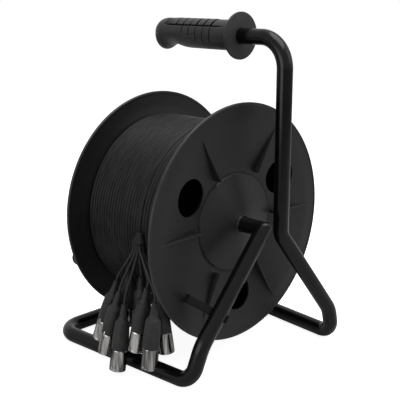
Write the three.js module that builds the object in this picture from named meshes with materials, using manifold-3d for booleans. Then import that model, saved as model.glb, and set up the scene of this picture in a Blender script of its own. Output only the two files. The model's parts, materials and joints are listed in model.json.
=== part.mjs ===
// Audio cable reel: a bent steel tube carries a plastic drum on its lower end and a hand
// grip on its upper end. A multicore cable is wound on the drum and ends in eight plugs.
// Millimetres. +X runs along the drum's axle towards the legs, -Y is the front, +Z is up.
import * as THREE from 'three';
import { mergeVertices } from 'three/addons/utils/BufferGeometryUtils.js';
import Module from 'manifold-3d';

const wasm = await Module();
wasm.setup();

// Clearances
const GAP = 0.3;
const RUNNING_GAP = 0.08;
const OVERRUN = 1;

// Drum
const FLANGE_RADIUS = 155;
const DRUM_HALF_WIDTH = 81.5;
const BARREL_RADIUS = 64;
const BARREL_WALL = 3;
const PLATE_THICKNESS = 2.6;
const AXLE_HEIGHT = 182;

// Flange moulding
const RIM_BEAD_WIDTH = 3.5;
const RIM_BEAD_DEPTH = 4;
const RIM_BEAD_ROUND = 0.9;
const RIM_STEP = 0.9;
const RIM_FLAT_WIDTH = 20;
const DISH_DEPTH = 10.8;
const CREASE_RADIUS = 62;
const HUB_NOSE_RADIUS = 17;
const HUB_NOSE_HEIGHT = 3.5;
const HUB_NOSE_ROUND = 2;
const HUB_SLEEVE_LENGTH = 24;
const HUB_SLEEVE_WALL = 3.6;
const RIB_COUNT = 6;
const RIB_THICKNESS = 3;
const RIB_INNER_RADIUS = 70;
const HOLE_COUNT = 3;
const HOLE_RADIUS = 20.5;
const HOLE_PITCH_RADIUS = 95;
const SPIGOT_LENGTH = 12;
const SPIGOT_WALL = 2.6;
const HOOK_COUNT = 3;
const HOOK_WIDTH = 12;
const HOOK_HEIGHT = 2.4;
const HOOK_LENGTH = 4;
const HOOK_SETBACK = 4;
const FAR_FLANGE_TURN = THREE.MathUtils.degToRad(-24);
const FIN_COUNT = 6;
const FIN_HEIGHT = 8;
const FIN_THICKNESS = 2.4;
const FIN_END_CLEARANCE = 6;

// Steel tube
const TUBE_RADIUS = 10;
const TUBE_WALL = 1.5;
const FOOT_BEND_RADIUS = 22;
const FAR_BEND_RADIUS = 28;
const LEG_BEND_RADIUS = 45;
const AXLE_BEND_RADIUS = 12.5;
const POST_BEND_RADIUS = 24;
const HANDLE_BEND_RADIUS = 37;
const LEG_OFFSET = 119;
const FRONT_KNEE_OFFSET = 113;
const FRONT_KNEE_REACH = 102;
const FRONT_KNEE_HEIGHT = 54;
const FRONT_FOOT_OFFSET = 108;
const FRONT_FOOT_REACH = 115.5;
const FAR_BAR_OFFSET = 134;
const FAR_FRONT_REACH = 137.5;
const FAR_REAR_REACH = 141.5;
const REAR_FOOT_OFFSET = 141.5;
const REAR_FOOT_REACH = 123.5;
const REAR_KNEE_OFFSET = 142;
const REAR_KNEE_REACH = 114;
const REAR_KNEE_HEIGHT = 49;
const POST_REACH = 35;
const POST_KNEE_HEIGHT = 168;
const HANDLE_HEIGHT = 415;

// Grip
const GRIP_RADIUS = 19.6;
const GRIP_INNER_END = 47;
const GRIP_LENGTH = 155;
const GRIP_BULGE_HEIGHT = 5.7;
const GRIP_BULGE_SETBACK = 12.8;
const GRIP_BULGE_WIDTH = 12;
const GRIP_NECK_DEPTH = 4;
const GRIP_NECK_SETBACK = 38;
const GRIP_NECK_WIDTH = 15;
const GRIP_GROOVE_DEPTH = 1.1;
const GRIP_GROOVE_WIDTH = 2.2;
const GRIP_GROOVE_PITCH = 13;
const GRIP_GROOVE_COUNT = 7;
const GRIP_GROOVE_START = 40;
const GRIP_SLOPE_WIDTH = 0.6;
const GRIP_END_ROUND = 21.5;
const GRIP_TIP_RADIUS = 1.5;
const GRIP_END_WALL = 12;
const GUARD_RADIUS = 30;
const GUARD_THICKNESS = 3.6;
const GUARD_FLARE = 6;

// Axle fittings
const BUSH_WALL = 2.4;
const BUSH_COLLAR_RADIUS = 14;
const BUSH_COLLAR_THICKNESS = 1.6;
const BUSH_STICK_OUT = 1;
const WASHER_RADIUS = 17;
const WASHER_THICKNESS = 2;
const RING_RADIUS = 14;
const RING_THICKNESS = 1.6;
const STOP_COLLAR_LENGTH = 6;
const STOP_COLLAR_RADIUS = 14.5;
const AXLE_END_LENGTH = 10;
const CAP_WALL = 2;
const CAP_END = 3;

// Winding knob on the far flange
const KNOB_EDGE_DISTANCE = 32;
const KNOB_ANGLE = THREE.MathUtils.degToRad(-144);
const KNOB_RADIUS = 13;
const KNOB_NECK_RADIUS = 10.5;
const KNOB_LENGTH = 47;
const KNOB_ROUND = 4;
const KNOB_BOSS_RADIUS = 11;
const KNOB_BOSS_HEIGHT = 7;
const SPINDLE_RADIUS = 4;
const SPINDLE_THREAD_RADIUS = 3;
const SPINDLE_HEAD_RADIUS = 7;
const SPINDLE_HEAD_THICKNESS = 3;
const KNOB_CAP_THICKNESS = 2;

// Drum brake on the front leg
const BRAKE_HEIGHT = 88;
const BRAKE_WIDTH = 10;
const BRAKE_RING_WALL = 3;
const BRAKE_MOUTH_ANGLE = THREE.MathUtils.degToRad(150);
const BRAKE_ARM_THICKNESS = 5.5;
const BRAKE_ARM_REACH = 28;
const BRAKE_PAD_THICKNESS = 3;
const BRAKE_PAD_LENGTH = 13;
const BRAKE_FOOT_THICKNESS = 4;
const BRAKE_RUB_GAP = 2.2;
const BRAKE_BORE_STEPS = 12;

// Cable
const CABLE_DIAMETER = 4.75;
const CABLE_PITCH = 5.15;
const FAR_TURNS = 19;
const NEAR_TURNS = 8;
const SLEEVE_STEP = 6.2;
const SLEEVE_STEP_START = THREE.MathUtils.degToRad(190);
const SLEEVE_STEP_ARC = THREE.MathUtils.degToRad(90);
const WINDING_RADIUS = 125;
const WINDING_STEPS = 20;
const WINDING_SIDES = 6;
const CORE_SIDE_CLEARANCE = 1.2;
const SLEEVE_DIAMETER = 6.4;
const SLEEVE_SIDES = 8;
const SLEEVE_EXIT = THREE.MathUtils.degToRad(180);

// Plugs and their whips
const BREAKOUT_HEIGHT = 173;
const BREAKOUT_LENGTH = 13;
const BREAKOUT_OFFSET = 33;
const BREAKOUT_ROUND = 3;
const WHIP_DIAMETER = 3.6;
const WHIP_GAP = 0.4;
const WHIP_SIDES = 8;
const WHIP_STEP = 10.8;
const SHELL_RADIUS = 10.4;
const SHELL_WALL = 1.2;
const SHELL_LENGTH = 27;
const SHELL_MOUTH_DEPTH = 14;
const PIN_RADIUS = 1.2;
const PIN_PITCH_RADIUS = 5;
const PIN_LENGTH = 11;
const PIN_COUNT = 3;
const BOOT_BODY_LENGTH = 34;
const BOOT_SHOULDER_LENGTH = 6;
const BOOT_LENGTH = 58;
const BOOT_WAIST_RADIUS = 4.8;
const BOOT_TIP_RADIUS = 3.2;

// Facets
const TUBE_SIDES = 12;
const BORE_SIDES = 6;
const RING_SIDES = 36;
const SMALL_SIDES = 16;
const PLUG_SIDES = 10;
const HOLE_SIDES = 18;
const PIN_SIDES = 5;
const GRIP_SIDES = 14;
const BEND_STEP = THREE.MathUtils.degToRad(18);

// Each plug has a mouth point and a boot tip point, chosen by hand: [along the axle, front to
// back, height]. Each whip has its place in the breakout: [column, layer from the drum out].
const PLUGS = [
  { mouth: [-37, -141, 30], tip: [-16, -127, 112] },
  { mouth: [-14, -152, 21], tip: [-1, -136, 101] },
  { mouth: [15, -155, 8], tip: [15, -141, 90] },
  { mouth: [36, -142, 38], tip: [49, -132, 120] },
  { mouth: [67, -147, 26], tip: [71, -139, 110] },
  { mouth: [66, -117, 37], tip: [56, -122, 119] },
  { mouth: [20, -118, 44], tip: [29, -124, 126] },
  { mouth: [-9, -116, 52], tip: [4, -123, 134] },
];
const WHIP_PLACES = [
  [0, 1],
  [1, 1],
  [2, 1],
  [2, 0],
  [3, 1],
  [3, 0],
  [1, 0],
  [0, 0],
];
const WHIP_COLUMNS = 4;
const WHIP_LAYERS = 2;

// Values that follow from the driving dimensions
const dishRadius = FLANGE_RADIUS - RIM_FLAT_WIDTH;
const dishSlope = DISH_DEPTH / (dishRadius - CREASE_RADIUS);
const knobPitch = FLANGE_RADIUS - KNOB_EDGE_DISTANCE;
const plateFace = DRUM_HALF_WIDTH - RIM_STEP;
const creaseFace = plateFace - DISH_DEPTH;
const noseFace = DRUM_HALF_WIDTH + HUB_NOSE_HEIGHT;
const tubeCorner = cornerRadius(TUBE_RADIUS, TUBE_SIDES);
const bushBore = tubeCorner + RUNNING_GAP;
const bushRadius = bushBore + BUSH_WALL;
const hubBore = bushRadius + GAP;
const bushCollarFace = noseFace + GAP + BUSH_COLLAR_THICKNESS;
const bushInnerEnd = noseFace - HUB_SLEEVE_LENGTH - BUSH_STICK_OUT;
const boreSeat = tubeCorner + GAP;
const barrelBore = BARREL_RADIUS - BARREL_WALL;
const cableRadius = CABLE_DIAMETER / 2;
const windingCentre = WINDING_RADIUS - cableRadius;
const chordShare = Math.cos(Math.PI / WINDING_STEPS);
const windingFloor = (windingCentre - flatRadius(cableRadius, WINDING_SIDES)) * chordShare;
const coreRadius = windingFloor - GAP;
const sleeveCentre = windingFloor / chordShare + flatRadius(SLEEVE_DIAMETER / 2, SLEEVE_SIDES);
const sweptRadius = sleeveCentre + SLEEVE_DIAMETER / 2 + GAP;
const whipRadius = WHIP_DIAMETER / 2;
const whipSpacing = WHIP_DIAMETER + WHIP_GAP;

const materials = {
  steel: new THREE.MeshStandardMaterial({ color: 0x141414, roughness: 0.3, metalness: 0.1 }),
  plastic: new THREE.MeshStandardMaterial({ color: 0x2c2c2c, roughness: 0.6, metalness: 0 }),
  rubber: new THREE.MeshStandardMaterial({ color: 0x1c1c1c, roughness: 0.7, metalness: 0 }),
  cable: new THREE.MeshStandardMaterial({ color: 0x202020, roughness: 0.65, metalness: 0 }),
  nylon: new THREE.MeshStandardMaterial({ color: 0x161616, roughness: 0.45, metalness: 0 }),
  nickel: new THREE.MeshStandardMaterial({ color: 0xc9c7c2, roughness: 0.25, metalness: 1 }),
  zinc: new THREE.MeshStandardMaterial({ color: 0xa9abad, roughness: 0.4, metalness: 1 }),
};

const reel = new THREE.Group();
const standAndDrum = new THREE.Group();
const tails = new THREE.Group();
reel.add(standAndDrum, tails);

// Adds a named mesh to a group and returns it.
function addPiece(name, geometry, material, group = standAndDrum) {
  const mesh = new THREE.Mesh(geometry, material);
  mesh.name = name;
  group.add(mesh);
  return mesh;
}

// Leaves only positions, merges equal corners and turns the faces out.
function closed(geometry) {
  geometry.deleteAttribute('normal');
  geometry.deleteAttribute('uv');
  const merged = mergeVertices(geometry, 1e-4);
  const index = [];
  const source = merged.index.array;
  for (let i = 0; i < source.length; i += 3) {
    const [a, b, c] = [source[i], source[i + 1], source[i + 2]];
    if (a !== b && b !== c && c !== a) index.push(a, b, c);
  }
  merged.setIndex(signedVolume(merged, index) < 0 ? index.reverse() : index);
  return merged;
}

function signedVolume(geometry, index) {
  const position = geometry.attributes.position;
  const [a, b, c] = [new THREE.Vector3(), new THREE.Vector3(), new THREE.Vector3()];
  let sum = 0;
  for (let i = 0; i < index.length; i += 3) {
    a.fromBufferAttribute(position, index[i]);
    b.fromBufferAttribute(position, index[i + 1]);
    c.fromBufferAttribute(position, index[i + 2]);
    sum += a.dot(b.cross(c));
  }
  return sum;
}

function toSolid(geometry) {
  const shape = closed(geometry);
  const vertProperties = new Float32Array(shape.attributes.position.array);
  const triVerts = new Uint32Array(shape.index.array);
  return new wasm.Manifold(new wasm.Mesh({ numProp: 3, vertProperties, triVerts }));
}

function toGeometry(solid) {
  const { vertProperties, triVerts } = solid.getMesh();
  const geometry = new THREE.BufferGeometry();
  geometry.setAttribute('position', new THREE.BufferAttribute(vertProperties, 3));
  geometry.setIndex(new THREE.BufferAttribute(triVerts, 1));
  return geometry;
}

// Revolves a list of [radius, distance along the axis] pairs about the X axis. A profile
// that doesn't reach the axis is closed on itself, which leaves a bore.
function turned(profile, sides) {
  const points = profile.map(([radius, along]) => new THREE.Vector2(radius, along));
  const open = points[0].x > 0 || points.at(-1).x > 0;
  if (open) points.push(points[0].clone());
  return new THREE.LatheGeometry(points, sides).rotateZ(-Math.PI / 2);
}

// A ring with a rectangular section between two distances along X.
function turnedRing(inner, outer, start, end, sides) {
  return turned([[inner, start], [outer, start], [outer, end], [inner, end]], sides);
}

// A plain cylinder along X between two distances.
function turnedBar(radius, start, end, sides) {
  return turned([[0, start], [radius, start], [radius, end], [0, end]], sides);
}

// The radius of the corners of a polygon whose flats touch a circle, and the other way round.
function cornerRadius(radius, sides) {
  return radius / Math.cos(Math.PI / sides);
}

function flatRadius(radius, sides) {
  return radius * Math.cos(Math.PI / sides);
}

// A regular polygon with flats on its axes, as an outline or as a hole.
function polygonPoints(radius, sides) {
  return Array.from({ length: sides }, (_, i) => {
    const angle = ((i + 0.5) / sides) * 2 * Math.PI;
    return new THREE.Vector2(radius * Math.cos(angle), radius * Math.sin(angle));
  });
}

// A route through chosen stations with a frame at each.
class Route extends THREE.Curve {
  constructor(points, tangents, normals) {
    super();
    this.points = points;
    this.tangents = tangents;
    this.normals = normals;
  }

  getPoint(t) {
    return this.points[Math.round(t * (this.points.length - 1))];
  }

  getSpacedPoints() {
    return this.points;
  }

  computeFrenetFrames() {
    const cross = (normal, i) => this.tangents[i].clone().cross(normal);
    const binormals = this.normals.map(cross);
    return { tangents: this.tangents, normals: this.normals, binormals };
  }
}

// Carries a first normal from one station to the others with as little turning as possible.
function carriedNormals(tangents, first, start = 0) {
  const normals = [];
  const carry = (from, to) => {
    const turn = new THREE.Quaternion();
    turn.setFromUnitVectors(tangents[from], tangents[to]);
    normals[to] = normals[from].clone().applyQuaternion(turn);
  };
  normals[start] = first.clone();
  for (let i = start + 1; i < tangents.length; i += 1) carry(i - 1, i);
  for (let i = start - 1; i >= 0; i -= 1) carry(i + 1, i);
  return normals;
}

function sweep(outline, route) {
  const steps = route.points.length - 1;
  return new THREE.ExtrudeGeometry(outline, { steps, extrudePath: route });
}

// Stations along straight runs joined by arcs: only the ends of the runs and the arcs' steps.
function bentStations(corners, radii) {
  const points = [corners[0].clone()];
  const tangents = [corners[1].clone().sub(corners[0]).normalize()];
  for (let i = 1; i < corners.length - 1; i += 1) {
    const into = corners[i].clone().sub(corners[i - 1]).normalize();
    const out = corners[i + 1].clone().sub(corners[i]).normalize();
    const axis = into.clone().cross(out).normalize();
    const turn = into.angleTo(out);
    const radius = radii[i - 1];
    const start = corners[i].clone().addScaledVector(into, -radius * Math.tan(turn / 2));
    const centre = start.clone().addScaledVector(axis.clone().cross(into), radius);
    const steps = Math.max(2, Math.round(turn / BEND_STEP));
    for (let k = 0; k <= steps; k += 1) {
      const angle = (turn * k) / steps;
      points.push(start.clone().sub(centre).applyAxisAngle(axis, angle).add(centre));
      tangents.push(into.clone().applyAxisAngle(axis, angle));
    }
  }
  points.push(corners.at(-1).clone());
  tangents.push(corners.at(-1).clone().sub(corners.at(-2)).normalize());
  return { points, tangents };
}

// Corners of the tube's centre line, from the axle's far end to the handle's free end.
function tubeCorners() {
  const at = (x, y, z) => new THREE.Vector3(x, y, z);
  return [
    at(-noseFace - AXLE_END_LENGTH, 0, AXLE_HEIGHT),
    at(LEG_OFFSET, 0, AXLE_HEIGHT),
    at(FRONT_KNEE_OFFSET, -FRONT_KNEE_REACH, FRONT_KNEE_HEIGHT),
    at(FRONT_FOOT_OFFSET, -FRONT_FOOT_REACH, TUBE_RADIUS),
    at(-FAR_BAR_OFFSET, -FAR_FRONT_REACH, TUBE_RADIUS),
    at(-FAR_BAR_OFFSET, FAR_REAR_REACH, TUBE_RADIUS),
    at(REAR_FOOT_OFFSET, REAR_FOOT_REACH, TUBE_RADIUS),
    at(REAR_KNEE_OFFSET, REAR_KNEE_REACH, REAR_KNEE_HEIGHT),
    at(LEG_OFFSET, POST_REACH, POST_KNEE_HEIGHT),
    at(LEG_OFFSET, POST_REACH, HANDLE_HEIGHT),
    at(GRIP_INNER_END - GRIP_LENGTH + GRIP_END_ROUND, POST_REACH, HANDLE_HEIGHT),
  ];
}

function frameTube() {
  const radii = [
    AXLE_BEND_RADIUS,
    LEG_BEND_RADIUS,
    FOOT_BEND_RADIUS,
    FAR_BEND_RADIUS,
    FAR_BEND_RADIUS,
    FOOT_BEND_RADIUS,
    LEG_BEND_RADIUS,
    POST_BEND_RADIUS,
    HANDLE_BEND_RADIUS,
  ];
  const { points, tangents } = bentStations(tubeCorners(), radii);
  const isFarBar = (tangent) => tangent.y > 1 - 1e-6;
  const start = tangents.findIndex(isFarBar);
  const normals = carriedNormals(tangents, new THREE.Vector3(0, 0, 1), start);
  const route = new Route(points, tangents, normals);
  const outline = new THREE.Shape(polygonPoints(tubeCorner, TUBE_SIDES));
  outline.holes.push(new THREE.Path(polygonPoints(TUBE_RADIUS - TUBE_WALL, BORE_SIDES)));
  return closed(sweep(outline, route));
}

// How far the plate's outer face stands out at a radius: level near the rim, then dished.
function plateFaceAt(radius) {
  return plateFace - dishSlope * Math.max(0, dishRadius - radius);
}

// Half section of the flange: the outer face from the nose to the rim bead, then the inner
// face back to the sleeve that holds the bush.
function flangeProfile() {
  const beadInner = FLANGE_RADIUS - RIM_BEAD_WIDTH;
  const beadBack = DRUM_HALF_WIDTH - RIM_BEAD_DEPTH;
  const plateBack = plateFace - PLATE_THICKNESS;
  const creaseBack = creaseFace - PLATE_THICKNESS;
  const spigotOuter = barrelBore - GAP;
  const spigotInner = spigotOuter - SPIGOT_WALL;
  const spigotEnd = creaseBack - SPIGOT_LENGTH;
  const sleeveRadius = hubBore + HUB_SLEEVE_WALL;
  const coneShare = (spigotInner - HUB_NOSE_RADIUS) / (CREASE_RADIUS - HUB_NOSE_RADIUS);
  const coneRise = noseFace - HUB_NOSE_ROUND - creaseFace;
  const spigotRoot = creaseBack + coneRise * (1 - coneShare);
  const sleeveRoot = noseFace - HUB_NOSE_ROUND - PLATE_THICKNESS;
  return [
    [hubBore, noseFace],
    [HUB_NOSE_RADIUS - HUB_NOSE_ROUND, noseFace],
    [HUB_NOSE_RADIUS, noseFace - HUB_NOSE_ROUND],
    [CREASE_RADIUS, creaseFace],
    [dishRadius, plateFace],
    [beadInner, plateFace],
    [beadInner + RIM_STEP, DRUM_HALF_WIDTH],
    [FLANGE_RADIUS - RIM_BEAD_ROUND, DRUM_HALF_WIDTH],
    [FLANGE_RADIUS, DRUM_HALF_WIDTH - RIM_BEAD_ROUND],
    [FLANGE_RADIUS, beadBack + RIM_BEAD_ROUND],
    [FLANGE_RADIUS - RIM_BEAD_ROUND, beadBack],
    [beadInner, beadBack],
    [beadInner - (plateBack - beadBack), plateBack],
    [dishRadius, plateBack],
    [BARREL_RADIUS, creaseBack],
    [spigotOuter, creaseBack],
    [spigotOuter, spigotEnd],
    [spigotInner, spigotEnd],
    [spigotInner, spigotRoot],
    [sleeveRadius, sleeveRoot],
    [sleeveRadius, noseFace - HUB_SLEEVE_LENGTH],
    [hubBore, noseFace - HUB_SLEEVE_LENGTH],
  ];
}

// A radial rib on the dished plate: its upper edge is level with the rim, so it grows deeper
// towards the hub.
function flangeRib(angle) {
  const root = PLATE_THICKNESS / 2;
  const outline = new THREE.Shape([
    new THREE.Vector2(RIB_INNER_RADIUS, plateFaceAt(RIB_INNER_RADIUS) - root),
    new THREE.Vector2(dishRadius + RIB_THICKNESS, plateFace - root),
    new THREE.Vector2(dishRadius + RIB_THICKNESS, plateFace),
    new THREE.Vector2(RIB_INNER_RADIUS, plateFace),
  ]);
  const rib = new THREE.ExtrudeGeometry(outline, { depth: RIB_THICKNESS, bevelEnabled: false });
  rib.translate(0, 0, -RIB_THICKNESS / 2);
  const swap = new THREE.Matrix4().makeBasis(
    new THREE.Vector3(0, 1, 0),
    new THREE.Vector3(1, 0, 0),
    new THREE.Vector3(0, 0, -1),
  );
  return toSolid(rib.applyMatrix4(swap).rotateX(angle));
}

// A box given by its size, its place along X, its distance from the axis and its angle.
function radialBox(size, along, radius, angle) {
  const box = new THREE.BoxGeometry(...size);
  return toSolid(box.translate(along, radius, 0).rotateX(angle));
}

// Snap hooks on the spigot, or the larger windows in the barrel that take them.
function hookBlocks(clearance) {
  const length = HOOK_LENGTH + 2 * clearance;
  const width = HOOK_WIDTH + 2 * clearance;
  const root = barrelBore - GAP - SPIGOT_WALL / 2;
  const height = HOOK_HEIGHT + SPIGOT_WALL / 2 + (clearance > 0 ? BARREL_WALL : 0);
  const along = creaseFace - PLATE_THICKNESS - HOOK_SETBACK - HOOK_LENGTH / 2;
  const blocks = [];
  for (let i = 0; i < HOOK_COUNT; i += 1) {
    const angle = (i / HOOK_COUNT) * 2 * Math.PI;
    blocks.push(radialBox([length, height, width], along, root + height / 2, angle));
  }
  return wasm.Manifold.union(blocks);
}

function flangeSolid() {
  let flange = toSolid(turned(flangeProfile(), RING_SIDES));
  for (let i = 0; i < RIB_COUNT; i += 1) {
    flange = flange.add(flangeRib((i / RIB_COUNT) * 2 * Math.PI));
  }
  flange = flange.add(hookBlocks(0));
  for (let i = 0; i < HOLE_COUNT; i += 1) {
    const angle = ((i + 0.25) / HOLE_COUNT) * 2 * Math.PI;
    const cutter = turnedBar(HOLE_RADIUS, creaseFace - DISH_DEPTH, noseFace, HOLE_SIDES);
    cutter.translate(0, HOLE_PITCH_RADIUS, 0).rotateX(angle);
    flange = flange.subtract(toSolid(cutter));
  }
  return flange;
}

// Turns a solid of the near side end for end, as the far flange of the same moulding sits.
function farSide(solid) {
  const flip = new THREE.Matrix4().makeRotationZ(Math.PI);
  const turn = new THREE.Matrix4().makeRotationX(FAR_FLANGE_TURN);
  return solid.transform(turn.multiply(flip).elements);
}

// The far flange also carries the boss that the knob's spindle screws into.
function farFlangeSolid() {
  const flange = farSide(flangeSolid());
  const bossTop = -(plateFace + KNOB_BOSS_HEIGHT);
  const bossRoot = -(plateFaceAt(knobPitch) - PLATE_THICKNESS / 2);
  const boss = turnedBar(KNOB_BOSS_RADIUS, bossTop, bossRoot, SMALL_SIDES);
  const hole = turnedBar(SPINDLE_THREAD_RADIUS + GAP, bossTop - OVERRUN, bossRoot, PLUG_SIDES);
  const place = (geometry) => toSolid(geometry.translate(0, knobPitch, 0).rotateX(KNOB_ANGLE));
  return flange.add(place(boss)).subtract(place(hole));
}

function barrelSolid() {
  const halfLength = creaseFace - PLATE_THICKNESS - GAP;
  const finHalf = halfLength - SPIGOT_LENGTH - FIN_END_CLEARANCE;
  let barrel = toSolid(turnedRing(barrelBore, BARREL_RADIUS, -halfLength, halfLength, RING_SIDES));
  for (let i = 0; i < FIN_COUNT; i += 1) {
    const angle = ((i + 0.5) / FIN_COUNT) * 2 * Math.PI;
    const height = FIN_HEIGHT + BARREL_WALL / 2;
    const radius = barrelBore + BARREL_WALL / 2 - height / 2;
    barrel = barrel.add(radialBox([2 * finHalf, height, FIN_THICKNESS], 0, radius, angle));
  }
  return barrel.subtract(hookBlocks(GAP)).subtract(farSide(hookBlocks(GAP)));
}

function onAxle(geometry) {
  return geometry.translate(0, 0, AXLE_HEIGHT);
}

// A collared bush, its collar on the nose and its body inside the flange's sleeve.
function bushGeometry(side) {
  const face = noseFace + GAP;
  const bore = cornerRadius(bushBore, SMALL_SIDES);
  const profile = [
    [bore, side * bushInnerEnd],
    [bushRadius, side * bushInnerEnd],
    [bushRadius, side * face],
    [BUSH_COLLAR_RADIUS, side * face],
    [BUSH_COLLAR_RADIUS, side * bushCollarFace],
    [bore, side * bushCollarFace],
  ];
  return turned(profile, SMALL_SIDES);
}

// Pieces on the axle outside the far bush, and the collar that stops it inside.
function axleFittings() {
  const seat = cornerRadius(boreSeat, SMALL_SIDES);
  const washer = -(bushCollarFace + GAP);
  const ring = washer - WASHER_THICKNESS - GAP;
  const cap = ring - RING_THICKNESS - GAP;
  const end = -(noseFace + AXLE_END_LENGTH + GAP);
  const stop = GAP - bushInnerEnd;
  const capOuter = seat + CAP_WALL;
  const capProfile = [
    [seat, cap],
    [capOuter, cap],
    [capOuter, end - CAP_END + CAP_WALL],
    [capOuter - CAP_WALL, end - CAP_END],
    [0, end - CAP_END],
    [0, end],
    [seat, end],
    [seat, cap],
  ];
  const capPoints = capProfile.map(([radius, along]) => new THREE.Vector2(radius, along));
  return {
    axle_washer: turnedRing(seat, WASHER_RADIUS, washer, washer - WASHER_THICKNESS, SMALL_SIDES),
    axle_retaining_ring: turnedRing(seat, RING_RADIUS, ring, ring - RING_THICKNESS, SMALL_SIDES),
    axle_stop_collar: turnedRing(seat, STOP_COLLAR_RADIUS, stop, stop + STOP_COLLAR_LENGTH, SMALL_SIDES),
    axle_cap: new THREE.LatheGeometry(capPoints, SMALL_SIDES).rotateZ(-Math.PI / 2),
  };
}

// The inner layers of cable, as one plain ring that follows the dished flanges.
function cableCore() {
  const [inner, outer] = [BARREL_RADIUS + GAP, coreRadius];
  const innerHalf = plateFaceAt(inner) - PLATE_THICKNESS - CORE_SIDE_CLEARANCE;
  const outerHalf = plateFaceAt(outer) - PLATE_THICKNESS - CORE_SIDE_CLEARANCE;
  const farSideProfile = [[inner, -innerHalf], [outer, -outerHalf]];
  return turned([...farSideProfile, [outer, outerHalf], [inner, innerHalf]], RING_SIDES);
}

// How far along the drum the winding is at an angle from its start: the same pitch all the
// way, but for one wider step that leaves room for the sleeve.
function windingAlong(angle) {
  const pitches = (FAR_TURNS + NEAR_TURNS) * CABLE_PITCH;
  const first = -(pitches + SLEEVE_STEP) / 2;
  const stepStart = (FAR_TURNS - 1) * 2 * Math.PI + SLEEVE_STEP_START;
  const share = THREE.MathUtils.smoothstep(angle, stepStart, stepStart + SLEEVE_STEP_ARC);
  return first + (angle / (2 * Math.PI)) * CABLE_PITCH + share * SLEEVE_STEP;
}

// Stations about the axle at a radius, each with the direction out of the drum as its normal.
function woundStations(radius, alongAt, start, end, steps) {
  const points = [];
  const tangents = [];
  const normals = [];
  const place = (angle) => {
    const [across, up] = [radius * Math.cos(angle), radius * Math.sin(angle)];
    return new THREE.Vector3(alongAt(angle), across, up);
  };
  const nudge = (end - start) / (steps * WINDING_STEPS);
  for (let i = 0; i <= steps; i += 1) {
    const angle = start + ((end - start) * i) / steps;
    const tangent = place(angle + nudge).sub(place(angle - nudge)).normalize();
    const outward = new THREE.Vector3(0, Math.cos(angle), Math.sin(angle));
    outward.addScaledVector(tangent, -outward.dot(tangent)).normalize();
    points.push(place(angle));
    tangents.push(tangent);
    normals.push(outward);
  }
  return { points, tangents, normals };
}

// Adds a straight run of one length at each end of a row of stations.
function withStraightEnds({ points, tangents, normals }, length) {
  points.unshift(points[0].clone().addScaledVector(tangents[0], -length));
  points.push(points.at(-1).clone().addScaledVector(tangents.at(-1), length));
  for (const list of [tangents, normals]) {
    list.unshift(list[0].clone());
    list.push(list.at(-1).clone());
  }
  return new Route(points, tangents, normals);
}

// The outer layer of cable: one helix about the axle.
function cableWinding() {
  const turns = FAR_TURNS + NEAR_TURNS;
  const end = turns * 2 * Math.PI;
  const stations = woundStations(windingCentre, windingAlong, 0, end, turns * WINDING_STEPS);
  const outline = new THREE.Shape(polygonPoints(cableRadius, WINDING_SIDES));
  return sweep(outline, withStraightEnds(stations, CABLE_DIAMETER));
}

// The cable's outer end in its sleeve, laid in the wider step between two turns.
function cableSleeve() {
  const start = (FAR_TURNS - 1) * 2 * Math.PI + SLEEVE_STEP_START + SLEEVE_STEP_ARC;
  const end = FAR_TURNS * 2 * Math.PI + SLEEVE_EXIT;
  const middle = (angle) => (windingAlong(angle) + windingAlong(angle - 2 * Math.PI)) / 2;
  const steps = Math.round(((end - start) / (2 * Math.PI)) * WINDING_STEPS);
  const stations = woundStations(sleeveCentre, middle, start, end, steps);
  const outline = new THREE.Shape(polygonPoints(SLEEVE_DIAMETER / 2, SLEEVE_SIDES));
  return sweep(outline, withStraightEnds(stations, SLEEVE_DIAMETER / 2));
}

// Least gap between neighbouring turns, measured on the corner points of the tube.
function windingGap(geometry) {
  const position = geometry.attributes.position;
  const slices = new Map();
  for (let i = 0; i < position.count; i += 1) {
    const corner = new THREE.Vector3().fromBufferAttribute(position, i);
    const angle = Math.atan2(corner.z, corner.y);
    const key = Math.round((angle / (2 * Math.PI)) * WINDING_STEPS);
    if (!slices.has(key)) slices.set(key, []);
    slices.get(key).push(corner);
  }
  let least = Infinity;
  for (const corners of slices.values()) {
    corners.sort((a, b) => a.x - b.x);
    const turns = corners.length / WINDING_SIDES;
    for (let i = 1; i < turns; i += 1) {
      const before = corners.slice((i - 1) * WINDING_SIDES, i * WINDING_SIDES);
      const after = corners.slice(i * WINDING_SIDES, (i + 1) * WINDING_SIDES);
      for (const one of before) {
        for (const other of after) least = Math.min(least, one.distanceTo(other));
      }
    }
  }
  return least;
}

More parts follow.
